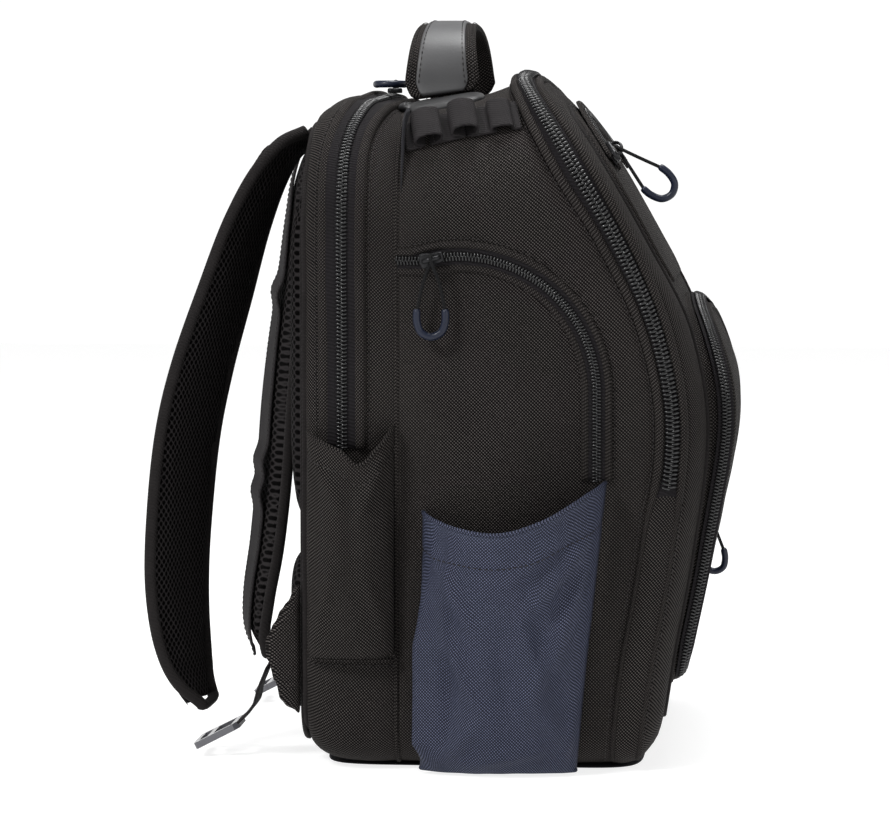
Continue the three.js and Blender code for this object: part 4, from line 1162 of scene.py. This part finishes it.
back_ring, _ = ring_at(flat_x(-67.6), 137, 16, 364, top_corner=60)
back_mesh = pillow(back_ring, (-1, 0, 0), 2.4, 0.4, rows=16)
back_object = outward(new_object("back_panel_cover", *back_mesh, AIR_MESH))
finish_piece(back_object, nodes=["back_panel"])
line, _ = spaced(back_ring, pitch=4, closed=True)
welt("back_panel_binding", line, np.tile([-1.0, 0, 0], (len(line), 1)), 7, 2.6, BINDING, closed=True)

for word, y0, y1 in (("left", -127, -15), ("right", 15, 127)):
    back_pad(f"back_pad_{word}_cushion", panel_outline(y0, y1, 137, 345), 8.5, 4, f"back_pad_{word}")
back_pad("lumbar_cushion", panel_outline(-123, 123, 25, 127), 12.5, 5, "lumbar_pad")

# ---------------------------------------------------------------- shoulder straps
STRAP_KNOTS = [(-73, 373), (-84, 365), (-97, 346), (-109, 318), (-122, 276), (-135, 232), (-143, 195),
               (-148, 150), (-150, 105), (-147, 70), (-141, 48), (-132, 33)]
STRAP_ROOT_X = -73.0
RIGHT_BOW = along([(33, 0.85), (120, 0.62), (250, 0.6), (320, 0.68), (346, 0.8), (373, 1)])
STRAP_Y = along([(0, 62), (0.2, 74), (0.5, 92), (1, 100)])
STRAP_ROLL = along([(0, 0), (0.25, 12), (0.5, 22), (0.85, 20), (1, 6)])
STRAP_SPREAD = along([(0, 0.8), (0.12, 1), (0.7, 1), (0.9, 0.78), (1, 0.5)])
STRAP_WIDTH, STRAP_THICK = 64.0, 12.0


def bowed(x, z, side):
    """The right strap hangs closer to the wearer's back than the left one."""
    return x if side < 0 else STRAP_ROOT_X + (x - STRAP_ROOT_X) * float(RIGHT_BOW(z))


def strap_frames(places, side):
    """Centres, across and outward directions of a strap's middle at places from 0 to 1, drawn on the left."""
    line = catmull([(bowed(x, z, side), 0, z) for x, z in STRAP_KNOTS])
    centres = np.array([line(t) for t in places])
    ahead = np.array([line(min(t + 1e-3, 1)) for t in places])
    behind = np.array([line(max(t - 1e-3, 0)) for t in places])
    out = unit(np.cross(unit(ahead - behind), [0, 1, 0]))
    out = np.where(out[:, :1] > 0, -out, out)
    roll = np.radians(STRAP_ROLL(places))[:, None]
    y = np.array([0.0, 1.0, 0.0])
    wide = y * np.cos(roll) - out * np.sin(roll)
    face = out * np.cos(roll) + y * np.sin(roll)
    centres[:, 1] = -STRAP_Y(places)
    return centres, wide, face


def strap_pad(side):
    """Closed form of a strap, a little slimmer than its finished pad."""
    places = np.linspace(0, 1, 90)
    centres, wide, face = strap_frames(places, side)
    a = np.linspace(0, 2 * np.pi, 28, endpoint=False)
    c = np.sign(np.cos(a)) * np.abs(np.cos(a)) ** 0.5
    s = np.sign(np.sin(a)) * np.abs(np.sin(a)) ** 0.8
    half = STRAP_WIDTH * STRAP_SPREAD(places) / 2 - 0.3
    thick = (STRAP_THICK - 3) / 2 * np.clip(0.55 + places * 8, 0, 1) * np.clip(0.5 + (1 - places) * 7, 0, 1)
    points = (centres[:, None] + wide[:, None] * (half[:, None] * c[None])[:, :, None]
              + face[:, None] * (thick[:, None] * s[None])[:, :, None])
    faces = grid_faces(90, 28, closed_columns=True)
    faces += [tuple(range(28))[::-1], tuple(89 * 28 + i for i in range(28))]
    return points.reshape(-1, 3), faces


def strap_rim(side):
    """Line round the free edge of a strap, and the way the strap faces at each of its points."""
    centres, wide, face = strap_frames(np.linspace(0, 1, 110), side)
    half = (STRAP_WIDTH * STRAP_SPREAD(np.linspace(0, 1, 110)) / 2 - 1.6)[:, None]
    a = np.linspace(0, np.pi, 16)[1:-1]
    down = unit(centres[-1] - centres[-2])
    across = np.sign(np.cos(a)) * np.abs(np.cos(a)) ** 0.7
    end = centres[-1] + np.outer(across, wide[-1] * half[-1]) + np.outer(np.sin(a) ** 0.7, down * 2.5)
    line = np.vstack([centres + wide * half, end, (centres - wide * half)[::-1]])
    faces = np.vstack([face, np.tile(face[-1], (len(end), 1)), face[::-1]])
    return line, faces


def binding_profile():
    a = np.linspace(0, 2 * np.pi, 12, endpoint=False)
    return np.stack([np.cos(a) * 2.8, np.sin(a) * 3.7], axis=1)


def shoulder_strap(word, side, turn):
    body = f"strap_{word}"
    points, faces = strap_pad(side)
    pad_mesh = outward(new_object(f"{body}_pad", turn(points), faces, AIR_MESH))
    inflate(pad_mesh, 1.8, 3.0)
    finish_piece(pad_mesh, body, [f"strap_pad_{word}"])
    line, face = strap_rim(side)
    made = sweep(f"{body}_binding", turn(line), turn(face), binding_profile(), BINDING,
                 wear=np.full(len(line), 0.3))
    finish_piece(made, body)
    places = np.linspace(0.1, 0.985, 150)
    centres, wide, face = strap_frames(places, side)
    rise = 7.2 * np.clip((places - 0.08) / 0.06, 0.3, 1)
    rise = rise + sum(3.2 * np.exp(-((places - peak) / 0.016) ** 2) for peak in (0.38, 0.62, 0.66))
    line = centres + face * rise[:, None]
    made = sweep(f"{body}_webbing", turn(line), turn(face), rounded(24, 1.8, 14, 0.35), WEBBING,
                 wear=np.full(len(line), 0.3))
    finish_piece(made, body, [f"strap_webbing_{word}"])
    for shift in (-9.5, 9.5):
        stitches(body, turn(line), turn(face), shift, lift=1.9)


for word, side, turn in SIDES:
    shoulder_strap(word, side, turn)

# ---------------------------------------------------------------- lower webbing and adjusters
LOWER_KNOTS = {
    "left": [(-91, -119, 58), (-97, -114, 44), (-101, -109, 33), (-107, -103, 25), (-112, -101, 20)],
    "right": [(-91, -119, 58), (-95, -114, 44), (-97, -109, 33), (-99.4, -103, 25), (-104.3, -101, 20)],
}
for word, _, turn in SIDES:
    web = catmull(LOWER_KNOTS[word])
    lower_line = np.array([web(t) for t in np.linspace(0, 1, 30)])
    lower_run = unit(np.gradient(lower_line, axis=0))
    lower_out = unit(np.cross(lower_run, np.tile([0.0, 1, 0], (30, 1))))
    made = sweep(f"lower_{word}_webbing", turn(lower_line), turn(lower_out),
                 rounded(22, 1.8, 14, 0.35) - [0, 0.9], WEBBING, wear=np.full(30, 0.4))
    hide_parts(f"lower_webbing_{word}")
    place(*turn(lower_line[3]))
    place(*turn(lower_line[-4]))
    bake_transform(made)
    lock = frame["nodes"][f"ladder_lock_{word}"]
    modifier(lock, "BEVEL", width=0.0009, segments=3, limit_method="ANGLE", angle_limit=math.radians(35))
    lock.data.materials.clear()
    lock.data.materials.append(BUCKLE)


# ---------------------------------------------------------------- corner wings
def wing_outline():
    def quadratic(a, b, c, count=14):
        t = np.linspace(0, 1, count, endpoint=False)[:, None]
        return (1 - t) ** 2 * np.array(a) + 2 * t * (1 - t) * np.array(b) + t**2 * np.array(c)
    root = REAR_X - GAP
    flat = np.vstack([quadratic((root, 26), (-84, 30), (-87, 48)), quadratic((-87, 48), (-95, 66), (-93, 76)),
                      quadratic((-93, 76), (-86, 92), (root, 118)),
                      np.stack([np.full(20, root), np.linspace(118, 26, 20)], axis=1)])
    ring = np.stack([flat[:, 0], np.full(len(flat), -141.5), flat[:, 1]], axis=1)
    return spaced(ring, pitch=4.0, closed=True)[0]


wing_mesh = pillow(wing_outline(), (0, -1, 0), 2.6, 2.6)
wing_left = outward(new_object("wing_left_pad", *wing_mesh, BLACK_TWILL))
inflate(wing_left, 2.5, 3.0, voxel=0.004)
for word, made in (("left", wing_left), ("right", mirror_mesh(wing_left, "wing_right_pad"))):
    finish_piece(made, nodes=[f"wing_{word}"])

# ---------------------------------------------------------------- webbing with loops
DAISY_FROM, DAISY_TO = np.array([-9, -132.2, 371.8]), np.array([57, -127.0, 385.0])
DAISY_OUT = unit([0, -0.643, 0.766])


def loop_webbing_line():
    """Middle of the webbing: laid on the shoulder, then up, over and back under itself in each loop."""
    run = DAISY_TO - DAISY_FROM
    shape = [(0, 0)]
    for start, rise, lean in ((0.10, 8.6, 0.045), (0.42, 9.4, 0.04), (0.72, 4.6, 0.0)):
        wide = 0.16 if rise > 6 else 0.2
        shape += [(start, 0.1), (start + 0.03 - lean, rise * 0.55), (start + 0.05 - lean * 0.6, rise * 0.93),
                  (start + wide / 2, rise), (start + wide - 0.02 + lean, rise * 0.8),
                  (start + wide + lean * 0.5, rise * 0.36), (start + wide + 0.02, 0.1)]
    shape.append((1, 0))
    knots = catmull([(place, height, 0) for place, height in shape])
    path = np.array([knots(t) for t in np.linspace(0, 1, 260)])
    laid, _ = drape(DAISY_FROM + run * path[:, :1], DAISY_OUT, main_tree, 0.3)
    laid = laid + DAISY_OUT * path[:, 1:2]
    tacks = [int(np.argmin(np.abs(path[:, 0] - spot) + np.abs(path[:, 1]))) for spot in
             (0.02, 0.07, 0.3, 0.36, 0.64, 0.68, 0.97)]
    return spaced(laid, count=230)[0], [int(k * 229 / 259) for k in tacks]


daisy_line, daisy_tacks = loop_webbing_line()
daisy_across = unit(np.cross(DAISY_TO - DAISY_FROM, DAISY_OUT))
daisy_outs = unit(np.cross(daisy_across, unit(np.gradient(daisy_line, axis=0))))
daisy_outs *= np.sign((daisy_outs @ DAISY_OUT).sum())
for word, _, turn in SIDES:
    outs = turn(daisy_outs)
    made = sweep(f"loop_webbing_{word}", turn(daisy_line), outs, rounded(25, 1.5, 14, 0.35), WEBBING,
                 wear=np.full(len(daisy_line), 0.35))
    finish_piece(made, nodes=[f"daisy_chain_{word}"])
    for k in daisy_tacks:
        bar = daisy_line[k] + daisy_across * np.linspace(-11, 11, 12)[:, None]
        stitches("bag", turn(bar), turn(np.tile(DAISY_OUT, (12, 1))), 0, pitch=2.4, lift=1.9)

# ---------------------------------------------------------------- haul handle
HANDLE_X, HANDLE_SPAN, HANDLE_LOW, HANDLE_RISE = 7.0, 66.0, 401.0, 37.0


def handle_line():
    """Middle of the handle, foot to foot, and each point's place from 0 to 1."""
    a = np.pi * (1 - np.linspace(0, 1, 200))
    c, s = np.cos(a), np.sin(a)
    y = HANDLE_SPAN * np.sign(c) * np.abs(c) ** 0.8
    z = HANDLE_LOW + HANDLE_RISE * np.clip(s, 0, 1) ** 0.75
    arch = np.stack([np.full(200, HANDLE_X), y, z], axis=1)
    foot = np.array([[HANDLE_X + 1, -HANDLE_SPAN - 2, HANDLE_LOW - 6.0]])
    return spaced(np.vstack([foot, arch, foot * [1, -1, 1]]), count=96)


line, spots = handle_line()
line = smoothed(line, 6)
runs = unit(np.gradient(line, axis=0))
outs = unit(np.cross(runs, [1.0, 0, 0]))
outs = np.where((outs * (line - [HANDLE_X, 0, 395])).sum(axis=1)[:, None] < 0, -outs, outs)
high = np.sin(np.pi * spots) ** 0.8
rooted = 0.72 + 0.28 * np.clip((line[:, 2] - HANDLE_LOW + 6) / 8, 0, 1) ** 0.6
for name, width_low, width_high, lift, thick, material, slot in (
        ("core", 48, 34, -3.2, 4.6, BLACK_TWILL, "black_twill"),
        ("panel", 34, 22, 0.4, 2.6, HANDLE_RUBBER, "handle_rubber")):
    widths = (width_low + (width_high - width_low) * high) * rooted
    profile = np.stack([rounded(w, thick, 24, 0.4) + [0, lift] for w in widths])
    made = sweep(f"handle_{name}", line, outs, profile, material, wear=0.4 * high)
    finish_piece(made, "haul_handle", ["haul_handle"] if name == "core" else ())
for sign in (-1, 1):
    for low_place, narrowing, lift in ((15.0, 6.0, 3.0), (20.5, 5.6, 1.6)):
        shift = sign * (low_place - narrowing * high)
        stitches("haul_handle", (line + np.outer(shift, [1, 0, 0]))[4:-4], outs[4:-4], 0, lift=lift)


def draped_patch(name, ring, direction, tree, thick, material, nodes=(), rows=14, sink=1.2):
    """Moulded or sewn patch lying on a surface: rings shrinking to the middle, domed at the edge."""
    centre = ring.mean(axis=0)
    k = 1 - np.cos(np.linspace(0, np.pi / 2, rows))
    levels = [ring * (1 - t) + centre * t for t in k[:-1]]
    lifts = [thick * (1 - (1 - t) ** 6) ** 0.5 for t in k[:-1]]
    rings = [drape(level, direction, tree, lift)[0] for level, lift in zip(levels, lifts)]
    under = drape(ring, direction, tree, -sink)[0]
    points = np.vstack([under, *rings, rings[-1].mean(axis=0, keepdims=True)])
    columns = len(ring)
    faces = grid_faces(rows, columns, closed_columns=True)
    tip, top = len(points) - 1, (rows - 1) * columns
    faces += [(top + c, top + (c + 1) % columns, tip) for c in range(columns)]
    faces.append(tuple(range(columns))[::-1])
    wear = np.clip(0.6 - np.arange(rows) * 0.12, 0, 1)
    made = new_object(name, points, faces, material, wear=np.append(np.repeat(wear, columns), 0.0))
    return finish_piece(made, nodes=nodes)


def oval(centre, along_x, half_x, half_other, power=0.6, count=72):
    """Ring of a rounded rectangle about a centre; its other axis is given."""
    a = np.linspace(0, 2 * np.pi, count, endpoint=False)
    c, s = np.cos(a), np.sin(a)
    return (np.asarray(centre, float) + np.outer(half_x * np.sign(c) * np.abs(c) ** power, [1, 0, 0])
            + np.outer(half_other * np.sign(s) * np.abs(s) ** power, along_x))


flange_ring = oval((HANDLE_X + 1, -HANDLE_SPAN - 13, HANDLE_LOW - 14), (0, -1, 0), 25.5, 22)
for word, _, _ in SIDES:
    made = draped_patch(f"handle_flange_{word}", flange_ring, (0, -0.25, 0.97), main_tree, 4.2, HANDLE_BASE,
                        [f"handle_foot_{word}"])
    if word == "right":
        for vertex in made.data.vertices:
            vertex.co.y = -vertex.co.y
        made.data.flip_normals()

# ---------------------------------------------------------------- sliders, cords and grips
SLIDER_TALL, BAIL_WIRE, BAIL_TOP = 3.0, 0.9, 7.4
CORD_RADIUS, GRIP_RADIUS, GRIP_HALF, GRIP_TALL = 1.05, 2.2, 8.2, 16.0
WRAP = BAIL_WIRE + CORD_RADIUS + 0.55
EYE = BAIL_TOP - WRAP
UNDER, CORD_DROP, LEAD, EXIT_AHEAD = 3.0, 30.0, 6.0, 3.0


def curve_object(name, points, radius, material, resolution=4):
    data = bpy.data.curves.new(name, "CURVE")
    data.dimensions = "3D"
    data.bevel_depth = radius / 1000
    data.bevel_resolution = resolution
    data.use_fill_caps = True
    spline = data.splines.new("POLY")
    spline.points.add(len(points) - 1)
    for knot, p in zip(spline.points, metres(points)):
        knot.co = (*p, 1)
    data.materials.append(material)
    return linked(name, data)


def slider_parts(origin, chain, out):
    """Body, crown and bail of a slider, its body along the chain and its bail towards out."""
    x = unit(chain)
    y = unit(np.asarray(out, float) - x * np.dot(out, x))
    z = np.cross(x, y)
    outline = np.array([(-7, -2.6), (-4.5, -3.4), (-1, -3.2), (3, -4.3), (6, -4.6), (7, -3), (7, 3), (6, 4.6),
                        (3, 4.3), (-1, 3.2), (-4.5, 3.4), (-7, 2.6)])
    levels = [(0.0, 0.93), (0.25, 1.0), (1.9, 1.0), (2.6, 0.95), (3.0, 0.82), (3.0, 0.5)]
    rows = [np.stack([outline[:, 0] * s, np.full(12, h), outline[:, 1] * s], axis=1) for h, s in levels]
    body = np.vstack(rows)
    faces = grid_faces(len(levels), 12, closed_columns=True)
    faces += [tuple(range(12))[::-1], tuple((len(levels) - 1) * 12 + i for i in range(12))]
    arch = catmull([(-5.2, 2, 0), (-4.6, 5.4, 0), (0, BAIL_TOP, 0), (4.6, 5.4, 0), (5.2, 2, 0)])
    path = np.array([arch(t) for t in np.linspace(0, 1, 28)])
    run = unit(np.gradient(path, axis=0))
    side = np.array([0.0, 0.0, 1.0])
    up = np.cross(run, side)
    a = np.linspace(0, 2 * np.pi, 10, endpoint=False)
    wire = (path[:, None] + up[:, None] * (np.cos(a) * BAIL_WIRE)[None, :, None]
            + side * (np.sin(a) * BAIL_WIRE * 1.5)[None, :, None]).reshape(-1, 3)
    wire_faces = grid_faces(28, 10, closed_columns=True)
    wire_faces += [tuple(range(10))[::-1], tuple(270 + i for i in range(10))]
    basis = np.stack([x, y, z])
    return [(body @ basis + origin, faces), (wire @ basis + origin, wire_faces)]


def pull_path(pull, hooked):
    """Knots of a pull's cord, passed under or round the bail, and of its grip."""
    def point(drop):
        straight = min(drop, LEAD)
        return pull["eye"] + pull["lead"] * straight + pull["hang"] * (drop - straight)

    def at(side, away, drop):
        t = max(drop, 0) / CORD_DROP
        lateral = unit(pull["cross"] * (1 - t) + pull["wide"] * t)
        return point(drop) + lateral * side + pull["out"] * away

    bends = np.radians([-90, -45, 0, 45, 90])
    turn = [at(0, WRAP * (1 + math.sin(a)), -WRAP * math.cos(a)) for a in bends]
    under = [at(UNDER * math.sin(a), 0, UNDER * (1 - math.cos(a))) for a in bends]
    middle = [at(-1.4, 0, 4), *turn, at(1.4, 2 * WRAP, 4)] if hooked else under
    cord = [at(-GRIP_HALF, 0, CORD_DROP), at(-5, 0, 14), *middle, at(5, WRAP if hooked else 0, 14),
            at(GRIP_HALF, 0, CORD_DROP)]
    u = [(-1, 0), (-1, 7), (-0.7, 13.4), (0, GRIP_TALL), (0.7, 13.4), (1, 7), (1, 0)]
    grip = [point(CORD_DROP - 1.5 + drop) + pull["wide"] * side * GRIP_HALF for side, drop in u]
    return cord, grip


def zipper_pull(name, origin, chain, out, hang, wide, hooked=False):
    """A slider with the cord and the grip that hang from its bail."""
    origin, wide = np.asarray(origin, float), unit(wide)
    run = unit(chain)
    away = unit(np.asarray(out, float) - run * np.dot(out, run))
    cross = run.copy() if hooked else np.cross(run, away)
    if np.dot(cross, wide) < 0:
        cross = -cross
    pull = {"eye": origin + away * EYE, "cross": cross, "out": away, "hang": unit(hang), "wide": wide,
            "lead": unit(hang) if hooked else run}
    cord_knots, grip_knots = pull_path(pull, hooked)
    cord_curve, grip_curve = catmull(cord_knots), catmull(grip_knots)
    cord_points = np.array([cord_curve(t) for t in np.linspace(0, 1, 60)])
    grip_points = np.array([grip_curve(t) for t in np.linspace(0, 1, 40)])
    cord = curve_object(f"{name}_pull_cord", cord_points, CORD_RADIUS, PULL_CORD)
    finish_piece(cord, f"{name}_pull", [f"{name}_cord"])
    run_out = grip_points - grip_points.mean(axis=0)
    a = np.linspace(0, 2 * np.pi, 14, endpoint=False)
    swell = np.ones(40)
    swell[[0, -1]], swell[[1, -2]] = 0.72, 0.95
    ring = np.stack([np.cos(a), np.sin(a)], axis=1)
    profile = ring[None] * (GRIP_RADIUS * swell)[:, None, None]
    plane = unit(np.cross(grip_points[10] - grip_points[0], grip_points[20] - grip_points[0]))
    grip = sweep(f"{name}_pull_grip", grip_points, np.tile(plane, (40, 1)), profile, NAVY_RUBBER,
                 wear=np.clip(0.35 - 0.01 * np.linalg.norm(run_out, axis=1), 0, 1))
    outward(grip)
    finish_piece(grip, f"{name}_pull", [f"{name}_grip"])
    slider = merged(f"{name}_zip_slider", slider_parts(origin, chain, out), SLIDER)
    modifier(slider, "BEVEL", width=0.0002, segments=2, limit_method="ANGLE", angle_limit=math.radians(40))
    finish_piece(slider, f"{name}_slider", [f"{name}_slider"])


slider_angle = ARCH_HALF - 0.08
zipper_pull("upper_pocket", arch_point(slider_angle)[0] + arch_normal * (1.4 + GAP),
            arch_point(slider_angle + 0.05)[0] - arch_point(slider_angle - 0.05)[0], arch_normal,
            (0.78, 0, -0.62), (0.62, 0, 0.78))
zipper_pull("rear", (float(rear_zip_x(394)), -5, 396.2 + GAP), (0, -1, 0), (0, 0, 1), (0, -1, 0), (1, 0, 0))
band_middle = mixed(zip_rear, zip_front, 0.5)
for word, z in (("lower", 182), ("upper", 292)):
    zipper_pull(f"main_{word}", (float(band_middle(z)), 150 + GAP, z),
                (float(band_middle(z - 8) - band_middle(z + 8)), 0, -16), (0, 1, 0), (0, 0, -1), (1, 0, 0))


def gusset_x(z):
    return float(face_x(z) + pocket_depth(z) * 0.5)


zipper_pull("lower_pocket", (gusset_x(128), 115 + 2 * GAP, 128), (gusset_x(120) - gusset_x(136), 0, -16),
            (0, 1, 0), (0.15, 0.2, -1), (1, 0, 0))
for word, side, _ in SIDES:
    angle = ARC_START - 0.06
    zipper_pull(f"side_{word}", (ARC_X + ARC_RADIUS * math.cos(angle), side * (SIDE_Y + 1.5 + GAP),
                                 ARC_Z + ARC_RADIUS * math.sin(angle)),
                (-math.sin(ARC_START), 0, math.cos(ARC_START)), (0, side, 0), (0, 0, -1), (1, 0, 0), True)

# ---------------------------------------------------------------- panels inside the bag
def inner_panel(name, node, thin, corner):
    """Padded board filling a node's box, crowned across its thin axis."""
    low, high = (np.array(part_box(node)[k]) * 1000 - SHIFT for k in (0, 1))
    a, b = [k for k in range(3) if k != thin]
    spot, size = (low + high) / 2, (high - low) / 2
    angles = np.linspace(0, 2 * np.pi, 200, endpoint=False)
    c, s = np.cos(angles), np.sin(angles)
    ring = np.tile(spot, (200, 1))
    power = 2 * corner / min(size[a], size[b])
    ring[:, a] += size[a] * np.sign(c) * np.abs(c) ** power
    ring[:, b] += size[b] * np.sign(s) * np.abs(s) ** power
    direction = np.eye(3)[thin]
    points, faces = pillow(ring, direction, size[thin], size[thin])
    made = outward(new_object(name, points, faces, LINING))
    finish_piece(made, nodes=[node])


inner_panel("divider_board", "divider_wall", 0, 14)
inner_panel("sleeve_board", "laptop_sleeve", 0, 14)
inner_panel("base_board", "base_panel", 2, 10)


# ---------------------------------------------------------------- floor and sky
def make_floor():
    mesh = bpy.data.meshes.new("floor")
    mesh.from_pydata([(-4, -4, 0), (4, -4, 0), (4, 4, 0), (-4, 4, 0)], [], [(0, 1, 2, 3)])
    mesh.materials.append(moulded("floor", (0.34, 0.34, 0.34), (0.36, 0.36, 0.36), 0.85,
                                  Specular_IOR_Level=0.1, Emission_Color=(1, 1, 1, 1),
                                  Emission_Strength=0.8))
    linked("floor", mesh)


def make_sky():
    """A white sky, brightest towards the horizon."""
    world = bpy.data.worlds.new("world")
    bpy.context.scene.world = world
    world.use_nodes = True
    tree = world.node_tree
    background = tree.nodes["Background"]
    background.inputs["Color"].default_value = (1, 1, 1, 1)
    direction = tree.nodes.new("ShaderNodeTexCoord")
    split = tree.nodes.new("ShaderNodeSeparateXYZ")
    height = tree.nodes.new("ShaderNodeMapRange")
    tree.links.new(direction.outputs["Generated"], split.inputs[0])
    tree.links.new(split.outputs["Z"], height.inputs["Value"])
    for socket, value in (("From Min", 0.14), ("From Max", 0.34), ("To Min", 1.06), ("To Max", 0.36)):
        height.inputs[socket].default_value = value
    tree.links.new(height.outputs["Result"], background.inputs["Strength"])


bpy.context.scene.view_settings.view_transform = "Standard"
make_floor()
make_sky()
area_light("key", (-1.5, -1.7, 2.1), (0.6, 0.6), 58)
area_light("fill", (1.8, -1.6, 0.9), (1.0, 1.2), 8)
area_light("top", (0.2, 0.3, 2.2), (1.0, 1.0), 46)

for body, parts in stitch_parts.items():
    finish_piece(merged(f"stitching_{body}", parts, THREAD), body)


def weave_everywhere():
    """Small cloth pieces take their weave from their place: length round the bag, and height."""
    for obj in bpy.data.objects:
        if obj.type != "MESH" or "weave" in obj.data.attributes:
            continue
        if any(m in (BLACK_TWILL, NAVY_TWILL, LINING) for m in obj.data.materials):
            at = vertex_array(obj.data)
            set_weave(obj.data, np.stack([at[:, 0] + at[:, 1], at[:, 2], 0 * at[:, 0]], axis=1))


weave_everywhere()
